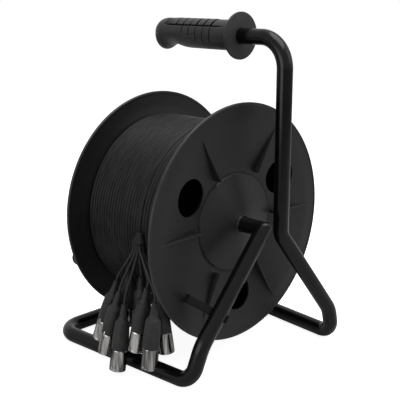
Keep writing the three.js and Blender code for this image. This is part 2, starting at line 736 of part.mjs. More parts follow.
// The hand grip about the handle's end: a round body, a neck and a bulge under its free end,
// grooves across its upper side and a round guard at its inner end.
function gripGeometry() {
  const inner = GUARD_THICKNESS + GUARD_FLARE;
  const stations = [];
  const add = (along, radius, share = 0, groove = 0) => stations.push({ along, radius, share, groove });
  add(0, GUARD_RADIUS - GUARD_THICKNESS / 2);
  add(GUARD_THICKNESS / 3, GUARD_RADIUS);
  add((GUARD_THICKNESS * 2) / 3, GUARD_RADIUS);
  add(GUARD_THICKNESS, GUARD_RADIUS - GUARD_THICKNESS / 2);
  add(GUARD_THICKNESS + GUARD_FLARE / 3, GRIP_RADIUS + GUARD_FLARE / 3);
  add(inner, GRIP_RADIUS);
  for (let i = 0; i < GRIP_GROOVE_COUNT; i += 1) {
    const start = GRIP_GROOVE_START + i * GRIP_GROOVE_PITCH;
    const end = start + GRIP_GROOVE_WIDTH;
    add(start, GRIP_RADIUS, bulgeShare(start));
    add(start + GRIP_SLOPE_WIDTH, GRIP_RADIUS, bulgeShare(start), 1);
    add(end - GRIP_SLOPE_WIDTH, GRIP_RADIUS, bulgeShare(end), 1);
    add(end, GRIP_RADIUS, bulgeShare(end));
  }
  const bodyEnd = GRIP_LENGTH - GRIP_END_ROUND;
  const last = GRIP_GROOVE_START + (GRIP_GROOVE_COUNT - 1) * GRIP_GROOVE_PITCH + GRIP_GROOVE_WIDTH;
  const lastStep = (bodyEnd - last) / 2;
  add(last + lastStep, GRIP_RADIUS, bulgeShare(last + lastStep));
  const roundSteps = 5;
  for (let i = 0; i <= roundSteps; i += 1) {
    const angle = ((i / roundSteps) * Math.PI) / 2;
    const radius = GRIP_TIP_RADIUS + (GRIP_RADIUS - GRIP_TIP_RADIUS) * Math.cos(angle);
    const along = bodyEnd + GRIP_END_ROUND * Math.sin(angle);
    add(along, radius, bulgeShare(along) * Math.cos(angle));
  }
  return ringLoft(stations);
}

// How much of the bulge stands under the grip at a distance from its guard: negative in the
// neck, 1 at the bulge's crown.
function bulgeShare(along) {
  const bell = (setback, width) => Math.exp(-(((along + setback - GRIP_LENGTH) / width) ** 2));
  const dip = (GRIP_NECK_DEPTH / GRIP_BULGE_HEIGHT) * bell(GRIP_NECK_SETBACK, GRIP_NECK_WIDTH);
  return bell(GRIP_BULGE_SETBACK, GRIP_BULGE_WIDTH) - dip;
}

// Joins the grip's stations into one closed body with a bore that ends in a blind wall.
function ringLoft(stations) {
  const positions = [];
  const index = [];
  const ring = (along, radiusAt) => {
    for (let k = 0; k < GRIP_SIDES; k += 1) {
      const angle = ((k + 0.5) / GRIP_SIDES) * 2 * Math.PI;
      const radius = radiusAt(angle);
      positions.push(-along, radius * Math.sin(angle), radius * Math.cos(angle));
    }
  };
  for (const { along, radius, share, groove } of stations) {
    ring(along, (angle) => {
      const under = Math.max(0, -Math.cos(angle));
      const over = Math.cos(angle) > 0 ? 1 : 0;
      return radius + share * under * GRIP_BULGE_HEIGHT - groove * over * GRIP_GROOVE_DEPTH;
    });
  }
  const bore = cornerRadius(boreSeat, GRIP_SIDES);
  const boreEnd = GRIP_LENGTH - GRIP_END_WALL;
  ring(boreEnd, () => bore);
  ring(0, () => bore);
  const count = stations.length + 2;
  const outerEnd = stations.length - 1;
  const quad = (a, b) => {
    for (let k = 0; k < GRIP_SIDES; k += 1) {
      const next = (k + 1) % GRIP_SIDES;
      const [p, q] = [a * GRIP_SIDES, b * GRIP_SIDES];
      index.push(p + k, p + next, q + next, p + k, q + next, q + k);
    }
  };
  for (let i = 0; i < outerEnd; i += 1) quad(i, i + 1);
  quad(count - 2, count - 1);
  quad(count - 1, 0);
  const fan = (base, flip) => {
    for (let k = 1; k < GRIP_SIDES - 1; k += 1) {
      const [p, q, r] = [base * GRIP_SIDES, base * GRIP_SIDES + k, base * GRIP_SIDES + k + 1];
      index.push(...(flip ? [p, r, q] : [p, q, r]));
    }
  };
  fan(outerEnd, false);
  fan(count - 2, true);
  const geometry = new THREE.BufferGeometry();
  geometry.setAttribute('position', new THREE.Float32BufferAttribute(positions, 3));
  geometry.setIndex(index);
  return closed(geometry);
}

// The knob's pieces, drawn along X away from the far flange's boss.
function knobPieces() {
  const bossTop = -(plateFace + KNOB_BOSS_HEIGHT);
  const start = bossTop - GAP;
  const end = start - KNOB_LENGTH;
  const headSeat = end + KNOB_CAP_THICKNESS + SPINDLE_HEAD_THICKNESS + GAP;
  const shaftBore = cornerRadius(cornerRadius(SPINDLE_RADIUS, PLUG_SIDES) + RUNNING_GAP, PLUG_SIDES);
  const headBore = SPINDLE_HEAD_RADIUS + GAP;
  const knob = turned([
    [shaftBore, start],
    [KNOB_NECK_RADIUS, start],
    [KNOB_NECK_RADIUS, start - KNOB_LENGTH / 4],
    [KNOB_RADIUS, start - KNOB_LENGTH / 2],
    [KNOB_RADIUS, end + KNOB_ROUND],
    [KNOB_RADIUS - KNOB_ROUND / 3, end + KNOB_ROUND / 3],
    [KNOB_RADIUS - KNOB_ROUND, end],
    [headBore, end],
    [headBore, headSeat],
    [shaftBore, headSeat],
  ], SMALL_SIDES);
  const threadEnd = -(plateFaceAt(knobPitch) - PLATE_THICKNESS / 2 + GAP);
  const shaft = cornerRadius(SPINDLE_RADIUS, PLUG_SIDES);
  const head = headSeat - GAP;
  const spindle = turned([
    [0, threadEnd],
    [SPINDLE_THREAD_RADIUS, threadEnd],
    [SPINDLE_THREAD_RADIUS, start],
    [shaft, start],
    [shaft, head],
    [SPINDLE_HEAD_RADIUS, head],
    [SPINDLE_HEAD_RADIUS, head - SPINDLE_HEAD_THICKNESS],
    [0, head - SPINDLE_HEAD_THICKNESS],
  ], PLUG_SIDES);
  const capInner = head - SPINDLE_HEAD_THICKNESS - GAP;
  const cap = turnedBar(SPINDLE_HEAD_RADIUS, capInner, end, SMALL_SIDES);
  return { knob, knob_spindle: spindle, knob_cap: cap };
}

function placeKnobPiece(geometry) {
  return onAxle(closed(geometry).translate(0, knobPitch, 0).rotateX(KNOB_ANGLE));
}

// The frame of the brake: its origin on the front leg, its X axis towards the flange and its
// Z axis up along the leg.
function brakeMatrix() {
  const [, top, knee] = tubeCorners();
  const share = (top.z - BRAKE_HEIGHT) / (top.z - knee.z);
  const origin = top.clone().lerp(knee, share);
  const up = top.clone().sub(knee).normalize();
  const towards = new THREE.Vector3(-1, 0, 0);
  towards.addScaledVector(up, -towards.dot(up)).normalize();
  const side = up.clone().cross(towards);
  return new THREE.Matrix4().makeBasis(towards, side, up).setPosition(origin);
}

// Distance from the leg's axis to the brake pad's face, square to the flange.
function brakePadFace() {
  const origin = new THREE.Vector3().setFromMatrixPosition(brakeMatrix());
  return origin.x - plateFace - BRAKE_RUB_GAP;
}

function brakeLever() {
  const boreStep = (2 * Math.PI - BRAKE_MOUTH_ANGLE) / BRAKE_BORE_STEPS;
  const bore = (tubeCorner + RUNNING_GAP) / Math.cos(boreStep / 2);
  const outer = bore + BRAKE_RING_WALL;
  const back = brakePadFace() - BRAKE_PAD_THICKNESS - GAP;
  const front = back - BRAKE_FOOT_THICKNESS;
  const armAngle = Math.atan2(BRAKE_ARM_REACH, front);
  const outline = new THREE.Shape();
  const spread = Math.asin(BRAKE_ARM_THICKNESS / 2 / outer);
  const arc = (radius, from, to, steps) => {
    for (let i = 0; i <= steps; i += 1) {
      const angle = from + ((to - from) * i) / steps;
      outline.lineTo(radius * Math.cos(angle), radius * Math.sin(angle));
    }
  };
  const armEnd = armAngle + spread;
  const farEnd = armEnd + BRAKE_MOUTH_ANGLE - 2 * Math.PI;
  outline.moveTo(outer * Math.cos(armEnd), outer * Math.sin(armEnd));
  arc(bore, armEnd, farEnd, BRAKE_BORE_STEPS);
  arc(outer, farEnd, armAngle - spread, BRAKE_BORE_STEPS);
  const half = BRAKE_ARM_THICKNESS / 2;
  const padHalf = BRAKE_PAD_LENGTH / 2;
  outline.lineTo(front, BRAKE_ARM_REACH - half - half);
  outline.lineTo(front, BRAKE_ARM_REACH - padHalf);
  outline.lineTo(back, BRAKE_ARM_REACH - padHalf);
  outline.lineTo(back, BRAKE_ARM_REACH + padHalf);
  outline.lineTo(front, BRAKE_ARM_REACH + padHalf);
  outline.lineTo(front - half, BRAKE_ARM_REACH + half);
  outline.closePath();
  const lever = new THREE.ExtrudeGeometry(outline, { depth: BRAKE_WIDTH, bevelEnabled: false });
  return lever.translate(0, 0, -BRAKE_WIDTH / 2).applyMatrix4(brakeMatrix());
}

function brakePad() {
  const face = brakePadFace();
  const pad = new THREE.BoxGeometry(BRAKE_PAD_THICKNESS, BRAKE_PAD_LENGTH, BRAKE_WIDTH);
  pad.translate(face - BRAKE_PAD_THICKNESS / 2, BRAKE_ARM_REACH, 0);
  return pad.applyMatrix4(brakeMatrix());
}

// Turns a plug that is drawn along +Z, from its mouth at zero, into its place.
function plugMatrix({ mouth, tip }) {
  const start = new THREE.Vector3(...mouth);
  const direction = new THREE.Vector3(...tip).sub(start).normalize();
  const turn = new THREE.Quaternion().setFromUnitVectors(new THREE.Vector3(0, 0, 1), direction);
  return new THREE.Matrix4().compose(start, turn, new THREE.Vector3(1, 1, 1));
}

// A profile of [radius, height] pairs turned about Z, for the plugs.
function turnedUpright(profile, sides) {
  const points = profile.map(([radius, height]) => new THREE.Vector2(radius, height));
  if (points[0].x > 0 || points.at(-1).x > 0) points.push(points[0].clone());
  return new THREE.LatheGeometry(points, sides).rotateX(Math.PI / 2);
}

function shellGeometry() {
  const inner = SHELL_RADIUS - SHELL_WALL;
  return turnedUpright([
    [inner, 0],
    [SHELL_RADIUS, 0],
    [SHELL_RADIUS, SHELL_LENGTH],
    [inner, SHELL_LENGTH],
  ], PLUG_SIDES);
}

function insertSolid() {
  const radius = SHELL_RADIUS - SHELL_WALL - GAP;
  const end = SHELL_LENGTH - GAP;
  let insert = toSolid(turnedUpright([
    [0, SHELL_MOUTH_DEPTH],
    [radius, SHELL_MOUTH_DEPTH],
    [radius, end],
    [0, end],
  ], PLUG_SIDES));
  for (let i = 0; i < PIN_COUNT; i += 1) {
    const angle = ((i + 0.25) / (PIN_COUNT + 1)) * 2 * Math.PI;
    const pin = new THREE.CylinderGeometry(PIN_RADIUS, PIN_RADIUS, PIN_LENGTH, PIN_SIDES);
    const height = SHELL_MOUTH_DEPTH + OVERRUN - PIN_LENGTH / 2;
    pin.rotateX(Math.PI / 2);
    pin.translate(PIN_PITCH_RADIUS * Math.cos(angle), PIN_PITCH_RADIUS * Math.sin(angle), height);
    insert = insert.add(toSolid(pin));
  }
  return insert;
}

function bootGeometry() {
  const start = SHELL_LENGTH + GAP;
  return turnedUpright([
    [0, start],
    [SHELL_RADIUS, start],
    [SHELL_RADIUS, start + BOOT_BODY_LENGTH / 2],
    [SHELL_RADIUS - SHELL_WALL, start + BOOT_BODY_LENGTH],
    [BOOT_WAIST_RADIUS, start + BOOT_BODY_LENGTH + BOOT_SHOULDER_LENGTH],
    [BOOT_TIP_RADIUS, start + BOOT_LENGTH],
    [0, start + BOOT_LENGTH],
  ], PLUG_SIDES);
}

// The block in which the sleeve's end divides: it lies on the turns at the drum's front.
function breakoutGeometry() {
  const width = WHIP_COLUMNS * whipSpacing + WHIP_GAP;
  const depth = WHIP_LAYERS * whipSpacing + WHIP_GAP;
  const [halfWidth, halfDepth] = [width / 2, depth / 2];
  const outline = new THREE.Shape();
  const corner = (x, y, start) => outline.absarc(x, y, BREAKOUT_ROUND, start, start + Math.PI / 2);
  corner(halfWidth - BREAKOUT_ROUND, halfDepth - BREAKOUT_ROUND, 0);
  corner(BREAKOUT_ROUND - halfWidth, halfDepth - BREAKOUT_ROUND, Math.PI / 2);
  corner(BREAKOUT_ROUND - halfWidth, BREAKOUT_ROUND - halfDepth, Math.PI);
  corner(halfWidth - BREAKOUT_ROUND, BREAKOUT_ROUND - halfDepth, -Math.PI / 2);
  const options = { depth: BREAKOUT_LENGTH, bevelEnabled: false, curveSegments: 3 };
  const block = new THREE.ExtrudeGeometry(outline, options);
  const front = -sweptRadius - halfDepth;
  return block.translate(BREAKOUT_OFFSET, front, BREAKOUT_HEIGHT + GAP);
}

// A whip: it runs down out of the breakout and bends into the tip of its boot.
function whipRoute(plug, [column, layer]) {
  const along = BREAKOUT_OFFSET + (column - (WHIP_COLUMNS - 1) / 2) * whipSpacing;
  const across = -(sweptRadius + WHIP_GAP + whipRadius + layer * whipSpacing);
  const matrix = plugMatrix(plug);
  const tipHeight = SHELL_LENGTH + GAP + BOOT_LENGTH + GAP;
  const end = new THREE.Vector3(0, 0, tipHeight).applyMatrix4(matrix);
  const axis = new THREE.Vector3(0, 0, 1).transformDirection(matrix);
  const start = new THREE.Vector3(along, across, BREAKOUT_HEIGHT);
  const down = new THREE.Vector3(0, 0, -1);
  return new THREE.CatmullRomCurve3([
    start,
    start.clone().addScaledVector(down, WHIP_DIAMETER),
    start.clone().addScaledVector(down, 2 * WHIP_DIAMETER),
    end.clone().addScaledVector(axis, 2 * WHIP_DIAMETER),
    end.clone().addScaledVector(axis, WHIP_DIAMETER),
    end,
  ], false, 'centripetal');
}

function whipGeometry(plug, place) {
  const curve = whipRoute(plug, place);
  const steps = Math.round(curve.getLength() / WHIP_STEP) + 2;
  const points = curve.getSpacedPoints(steps);
  const tangents = points.map((_, i) => curve.getTangentAt(i / steps));
  const side = new THREE.Vector3(1, 0, 0);
  side.addScaledVector(tangents[0], -side.dot(tangents[0])).normalize();
  const outline = new THREE.Shape(polygonPoints(whipRadius, WHIP_SIDES));
  return sweep(outline, new Route(points, tangents, carriedNormals(tangents, side)));
}

// Stand and grip
addPiece('frame_tube', frameTube(), materials.steel);
const grip = addPiece('grip', gripGeometry(), materials.rubber);
grip.position.set(GRIP_INNER_END, POST_REACH, HANDLE_HEIGHT);

// Drum
addPiece('near_flange', onAxle(toGeometry(flangeSolid())), materials.plastic);
addPiece('far_flange', onAxle(toGeometry(farFlangeSolid())), materials.plastic);
addPiece('drum_barrel', onAxle(toGeometry(barrelSolid())), materials.plastic);
addPiece('near_hub_bush', onAxle(closed(bushGeometry(1))), materials.nylon);
addPiece('far_hub_bush', onAxle(closed(bushGeometry(-1))), materials.nylon);
for (const [name, geometry] of Object.entries(axleFittings())) {
  addPiece(name, onAxle(closed(geometry)), name === 'axle_cap' ? materials.plastic : materials.zinc);
}

// Winding knob
for (const [name, geometry] of Object.entries(knobPieces())) {
  const finish = name === 'knob_spindle' ? materials.zinc : materials.plastic;
  addPiece(name, placeKnobPiece(geometry), finish);
}

// Drum brake
addPiece('brake_lever', closed(brakeLever()), materials.plastic);
addPiece('brake_pad', closed(brakePad()), materials.rubber);

// Cable
addPiece('cable_core', onAxle(closed(cableCore())), materials.cable);
const winding = closed(cableWinding());
console.log(`least gap between turns ${windingGap(winding).toFixed(3)} mm`);
addPiece('cable_winding', onAxle(winding), materials.cable);
addPiece('cable_sleeve', onAxle(closed(cableSleeve())), materials.cable);
addPiece('cable_breakout', closed(breakoutGeometry()), materials.rubber, tails);

// Plugs and whips
PLUGS.forEach((plug, i) => {
  const matrix = plugMatrix(plug);
  const number = i + 1;
  const add = (name, geometry, finish) => addPiece(`${name}_${number}`, geometry, finish, tails);
  add('whip', closed(whipGeometry(plug, WHIP_PLACES[i])), materials.cable);
  add('plug_boot', closed(bootGeometry()).applyMatrix4(matrix), materials.rubber);
  add('plug_shell', closed(shellGeometry()).applyMatrix4(matrix), materials.nickel);
  add('plug_insert', toGeometry(insertSolid()).applyMatrix4(matrix), materials.plastic);
});

// The origin lies on the floor, under the middle of the stand and drum together.
const extent = new THREE.Box3().setFromObject(standAndDrum);
const middle = extent.getCenter(new THREE.Vector3());
reel.position.set(-middle.x, -middle.y, -extent.min.z);

export default reel;
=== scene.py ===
"""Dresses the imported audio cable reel: a bent steel tube, a plastic drum wound with cable, eight
plugs on whips, a winding knob, a drum brake and a moulded grip.

Shapes are written in millimetres in the drum's frame: x runs along the axle towards the legs,
-y is the front and z is up from the floor. They are moved into the row frame in metres at the end.
"""

import json
import logging
import math
from dataclasses import dataclass, fields
from enum import Enum
from typing import Sequence

import bpy
import numpy as np
from mathutils import Matrix, Vector

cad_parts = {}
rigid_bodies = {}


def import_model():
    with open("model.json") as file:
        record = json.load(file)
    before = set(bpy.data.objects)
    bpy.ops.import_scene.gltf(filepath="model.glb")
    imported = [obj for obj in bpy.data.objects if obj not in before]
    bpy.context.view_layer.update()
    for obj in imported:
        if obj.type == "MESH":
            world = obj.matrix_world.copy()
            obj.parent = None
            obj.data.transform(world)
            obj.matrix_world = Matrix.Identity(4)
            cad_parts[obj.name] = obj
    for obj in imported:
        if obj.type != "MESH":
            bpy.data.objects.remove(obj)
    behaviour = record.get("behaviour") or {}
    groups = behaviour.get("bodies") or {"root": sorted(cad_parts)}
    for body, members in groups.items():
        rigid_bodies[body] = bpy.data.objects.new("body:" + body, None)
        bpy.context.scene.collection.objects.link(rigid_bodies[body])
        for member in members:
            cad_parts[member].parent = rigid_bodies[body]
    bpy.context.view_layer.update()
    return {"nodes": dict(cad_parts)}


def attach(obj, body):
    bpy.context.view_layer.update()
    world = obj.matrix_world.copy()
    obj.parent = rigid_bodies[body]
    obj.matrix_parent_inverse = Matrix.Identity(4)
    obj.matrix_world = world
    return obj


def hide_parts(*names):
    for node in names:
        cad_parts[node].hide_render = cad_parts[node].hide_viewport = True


Array = np.ndarray
Socket = bpy.types.NodeSocket
log = logging.getLogger("cable_reel")

ROW_SHIFT = np.array([4.1172, 0.0, 0.0])
MILLIMETRE = 0.001
AXLE_HEIGHT = 182.0
FULL_TURN = 2 * math.pi
FIT_GAP = 0.3
LONGEST_ROUNDING_SHARE = 0.45
STEEPEST_START = 0.95
SHARP_ANGLE = 32.0
SOFTER_SHARP_ANGLE = 40.0


class Body(Enum):
    """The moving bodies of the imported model."""

    STAND = "stand"
    DRUM = "drum"
    KNOB = "winding_knob"
    BRAKE = "brake"


class Side(Enum):
    """The two ends of the drum: near is towards the legs."""

    NEAR = 1
    FAR = -1


class Slot(Enum):
    """Material slots of the record."""

    LACQUER = "black_lacquer"
    GRIP = "grip_rubber"
    PLASTIC = "drum_plastic"
    NYLON = "bush_nylon"
    ZINC = "zinc_steel"
    CABLE = "cable_jacket"
    BOOT = "boot_rubber"
    NICKEL = "nickel_shell"
    INSERT = "insert_plastic"


@dataclass
class Shell:
    """A closed surface: corner points in millimetres and faces as rows of corner numbers."""

    points: Array
    quads: Array
    triangles: Array

    def faces(self, offset: int = 0) -> list[list[int]]:
        """Its faces as lists of corner numbers, each raised by an offset: quads, then triangles."""
        return (self.quads + offset).tolist() + (self.triangles + offset).tolist()

    def shifted(self, x: float, y: float, z: float) -> "Shell":
        """Returns the shell moved by a distance along each axis."""
        return Shell(self.points + [x, y, z], self.quads, self.triangles)

    def moved(self, matrix: Array) -> "Shell":
        """Returns the shell carried by a 4 x 4 matrix: each point times the matrix."""
        carried = self.points @ matrix[:3, :3].T + matrix[:3, 3]
        return Shell(carried, self.quads, self.triangles).outward()

    def outward(self) -> "Shell":
        """Turns every face out.

        Returns:
            The shell, its corners taken the other way round where the sum of the volumes
            between its faces and zero is negative.
        """
        tri = np.vstack([self.quads[:, [0, 1, 2]], self.quads[:, [0, 2, 3]], self.triangles])
        a, b, c = self.points[tri[:, 0]], self.points[tri[:, 1]], self.points[tri[:, 2]]
        volume = np.einsum("ij,ij->i", a, np.cross(b, c)).sum()
        if volume < 0:
            return Shell(self.points, self.quads[:, ::-1].copy(), self.triangles[:, ::-1].copy())
        return self


def close_grid(grid: Array, wrap_rows: bool = False) -> Shell:
    """Makes a closed shell of a grid whose columns run round and whose rows run along.

    Args:
        grid: rows x columns x 3 points.
        wrap_rows: joins the last row to the first, as on a ring with a bore.

    Returns:
        The shell. Where the rows aren't wrapped, each end is closed by a fan about its middle.
    """
    rows, columns = grid.shape[:2]
    row = np.arange(rows if wrap_rows else rows - 1)[:, None]
    column = np.arange(columns)[None, :]
    after, beside = (row + 1) % rows, (column + 1) % columns
    quads = np.stack(
        [
            row * columns + column,
            row * columns + beside,
            after * columns + beside,
            after * columns + column,
        ],
        axis=-1,
    ).reshape(-1, 4)
    points = grid.reshape(-1, 3)
    triangles = np.zeros((0, 3), dtype=int)
    if not wrap_rows:
        first, last = len(points), len(points) + 1
        points = np.vstack([points, grid[0].mean(axis=0), grid[-1].mean(axis=0)])
        ring, following = np.arange(columns), (np.arange(columns) + 1) % columns
        start = np.stack([np.full(columns, first), following, ring], axis=-1)
        base = (rows - 1) * columns
        end = np.stack([np.full(columns, last), base + ring, base + following], axis=-1)
        triangles = np.vstack([start, end])
    return Shell(points, quads, triangles).outward()


def joined(shells: Sequence[Shell]) -> Shell:
    """Joins shells without merging them.

    Args:
        shells: closed shells.

    Returns:
        One shell with all their points and faces, the corner numbers raised to match.
    """
    offsets = np.cumsum([0] + [len(s.points) for s in shells])
    return Shell(
        np.vstack([s.points for s in shells]),
        np.vstack([s.quads + o for s, o in zip(shells, offsets)]),
        np.vstack([s.triangles + o for s, o in zip(shells, offsets)]),
    )


def parabola(a: Array, corner: Array, b: Array, steps: int) -> Array:
    """Points from a to b that lean to a corner: (1-t)^2 a + 2t(1-t) corner + t^2 b.

    Args:
        a: the first point, or an array of them.
        corner: the corner, or one for each.
        b: the last point, or an array of them.
        steps: how many values t takes from 0 to 1.

    Returns:
        The points, with the steps along the first axis.
    """
    t = np.linspace(0, 1, steps).reshape(-1, *[1] * np.ndim(corner))
    return (1 - t) ** 2 * a + 2 * t * (1 - t) * corner + t**2 * b


def rounded(profile: Sequence[tuple], steps: int = 5) -> Array:
    """Rounds the corners of a section line.

    Args:
        profile: (radius, along, rounding) per corner; a rounding of zero leaves the corner sharp.
        steps: points on each rounded corner.

    Returns:
        Points (radius, along). Each corner becomes a parabola between two points at the
        rounding's distance from it.
    """
    corners = np.array([p[:2] for p in profile], dtype=float)
    out: list[Array] = []
    for i, (*_, reach) in enumerate(profile):
        corner = corners[i]
        if reach <= 0 or i in (0, len(profile) - 1):
            out.append(corner[None, :])
            continue
        before, after = corners[i - 1] - corner, corners[i + 1] - corner
        lengths = np.linalg.norm(before), np.linalg.norm(after)
        use = min(reach, LONGEST_ROUNDING_SHARE * min(lengths))
        a, b = corner + before / lengths[0] * use, corner + after / lengths[1] * use
        out.append(parabola(a, corner, b, steps))
    return np.vstack(out)


def revolve(profile: Array, sides: int, ring: bool) -> Shell:
    """Turns a section about the x axis: (along, radius cos angle, radius sin angle).

    Args:
        profile: points (radius, along).
        sides: steps round the axis.
        ring: True where the section is closed on itself and leaves a bore.

    Returns:
        The turned shell.
    """
    angle = np.linspace(0, FULL_TURN, sides, endpoint=False)[None, :]
    radius, along = profile[:, :1], profile[:, 1:2]
    along = np.broadcast_to(along, (len(profile), sides))
    grid = np.stack([along, radius * np.cos(angle), radius * np.sin(angle)], axis=-1)
    return close_grid(grid, wrap_rows=ring)


def upright(shell: Shell) -> Shell:
    """Lays a shell that is drawn along x along z instead: (x, y, z) becomes (y, z, x)."""
    return Shell(shell.points[:, [1, 2, 0]], shell.quads, shell.triangles).outward()


def on_axle(shell: Shell) -> Shell:
    """Lifts a shell that is drawn about the x axis to the axle's height."""
    return shell.shifted(0, 0, AXLE_HEIGHT)


def about_z(radius: Array | float, angle: Array, z: Array) -> Array:
    """Points about the z axis: (radius cos angle, radius sin angle, z)."""
    parts = np.broadcast_arrays(radius * np.cos(angle), radius * np.sin(angle), z)
    return np.stack(parts, axis=-1)


def unit(vectors: Array) -> Array:
    """Each vector divided by its length."""
    return vectors / np.linalg.norm(vectors, axis=-1, keepdims=True)


def carried_frames(path: Array) -> tuple[Array, Array, Array]:
    """Tangents and two cross directions along a path.

    Args:
        path: points along the line.

    Returns:
        Tangents, normals and binormals. The tangent is the chord of the neighbours. The first
        normal leans up, or along x where the path does, and it is carried from point to point
        with its part along the tangent taken away.
    """
    tangents = unit(np.gradient(path, axis=0))
    normals = np.empty_like(path)
    carried = np.array([0.0, 0.0, 1.0])
    if abs(tangents[0] @ carried) > STEEPEST_START:
        carried = np.array([1.0, 0.0, 0.0])
    for i, tangent in enumerate(tangents):
        carried = carried - tangent * (carried @ tangent)
        carried = carried / np.linalg.norm(carried)
        normals[i] = carried
    return tangents, normals, np.cross(tangents, normals)


def tube_grid(path: Array, radius: float, sides: int, frames: tuple | None = None) -> Array:
    """Carries a circle along a path: point + radius (normal cos angle + binormal sin angle).

    Args:
        path: points along the line.
        radius: the circle's radius.
        sides: steps round the line.
        frames: tangents, normals and binormals, where they are known.

    Returns:
        The tube's points, a row for each point of the path.
    """
    _, normals, binormals = frames or carried_frames(path)
    angle = np.linspace(0, FULL_TURN, sides, endpoint=False)[None, :, None]
    ring = normals[:, None] * np.cos(angle) + binormals[:, None] * np.sin(angle)
    return path[:, None] + radius * ring


def tube(path: Array, radius: float, sides: int, frames: tuple | None = None) -> Shell:
    """The closed tube along a path."""
    return close_grid(tube_grid(path, radius, sides, frames))


def through(knots: Sequence[Array], steps: int = 40, span_steps: int = 60) -> Array:
    """A centripetal Catmull-Rom curve through points.

    Args:
        knots: the points it passes through.
        steps: points returned, evenly spaced along it.
        span_steps: points worked out between two knots.

    Returns:
        Points of the cubic on each span, whose end slopes come from the neighbours' distances
        to the power one half.
    """
    p = np.array(knots, dtype=float)
    p = np.vstack([2 * p[0] - p[1], p, 2 * p[-1] - p[-2]])
    t = np.linspace(0, 1, span_steps, endpoint=False)[:, None]
    parts = []
    for i in range(1, len(p) - 2):
        x0, x1, x2, x3 = p[i - 1 : i + 3]
        d0, d1, d2 = (math.sqrt(np.linalg.norm(b - a)) for a, b in ((x0, x1), (x1, x2), (x2, x3)))
        t1 = ((x1 - x0) / d0 - (x2 - x0) / (d0 + d1) + (x2 - x1) / d1) * d1
        t2 = ((x2 - x1) / d1 - (x3 - x1) / (d1 + d2) + (x3 - x2) / d2) * d1
        square = (3 * (x2 - x1) - 2 * t1 - t2) * t**2
        parts.append(x1 + t1 * t + square + (2 * (x1 - x2) + t1 + t2) * t**3)
    dense = np.vstack(parts + [p[-2][None]])
    run = np.concatenate([[0], np.cumsum(np.linalg.norm(np.diff(dense, axis=0), axis=1))])
    even = np.linspace(0, run[-1], steps)
    return np.stack([np.interp(even, run, dense[:, k]) for k in range(3)], axis=-1)


def smooth(value: Array, low: float, high: float) -> Array:
    """Rises smoothly from 0 at low to 1 at high: 3t^2 - 2t^3."""
    t = np.clip((value - low) / (high - low), 0, 1)
    return t * t * (3 - 2 * t)


def rotation_x(angle: float) -> Array:
    """A turn about the x axis as a 4 x 4 matrix."""
    return np.array(Matrix.Rotation(angle, 4, "X"))


def rotation_z(angle: float) -> Array:
    """A turn about the z axis as a 4 x 4 matrix."""
    return np.array(Matrix.Rotation(angle, 4, "Z"))


def in_row(points: Array) -> Array:
    """Carries points from millimetres in the drum's frame to metres in the row frame."""
    return (points - ROW_SHIFT) * MILLIMETRE


def mesh_of(name: str, points: Array, faces: Sequence[Sequence[int]]) -> bpy.types.Mesh:
    """Makes a mesh.

    Args:
        name: the mesh's name.
        points: its corners in metres.
        faces: rows of corner numbers.

    Returns:
        The mesh.
    """
    mesh = bpy.data.meshes.new(name)
    mesh.from_pydata(points.tolist(), [], faces)
    mesh.update()
    return mesh


def linked(name: str, data: bpy.types.ID) -> bpy.types.Object:
    """Makes an object and links it to the scene.

    Args:
        name: the object's name.
        data: its mesh, lamp or camera.

    Returns:
        The object.
    """
    obj = bpy.data.objects.new(name, data)
    bpy.context.scene.collection.objects.link(obj)
    return obj


def baked(obj: bpy.types.Object) -> bpy.types.Mesh:
    """The object's mesh with its modifiers worked in."""
    graph = bpy.context.evaluated_depsgraph_get()
    return bpy.data.meshes.new_from_object(obj.evaluated_get(graph))


def cut(obj: bpy.types.Object, cutters: Shell) -> None:
    """Takes cutters out of an object with an exact boolean and keeps the result as its mesh.

    Args:
        obj: the object that is cut.
        cutters: one or more closed surfaces, in millimetres in the drum's frame.
    """
    tool = linked("cutter", mesh_of("cutter", in_row(cutters.points), cutters.faces()))
    modifier = obj.modifiers.new("holes", "BOOLEAN")
    modifier.operation, modifier.solver, modifier.object = "DIFFERENCE", "EXACT", tool
    made = baked(obj)
    obj.modifiers.clear()
    obj.data = made
    bpy.data.objects.remove(tool)


def add_shells(obj: bpy.types.Object, shells: Sequence[Shell]) -> None:
    """Adds closed shells to an object's mesh.

    Args:
        obj: the object.
        shells: what is added, in millimetres in the drum's frame.
    """
    mesh = obj.data
    count = len(mesh.vertices)
    old = np.empty(count * 3)
    mesh.vertices.foreach_get("co", old)
    faces = [list(p.vertices) for p in mesh.polygons]
    extra = joined(shells)
    points = np.vstack([old.reshape(-1, 3), in_row(extra.points)])
    obj.data = mesh_of(mesh.name, points, faces + extra.faces(count))


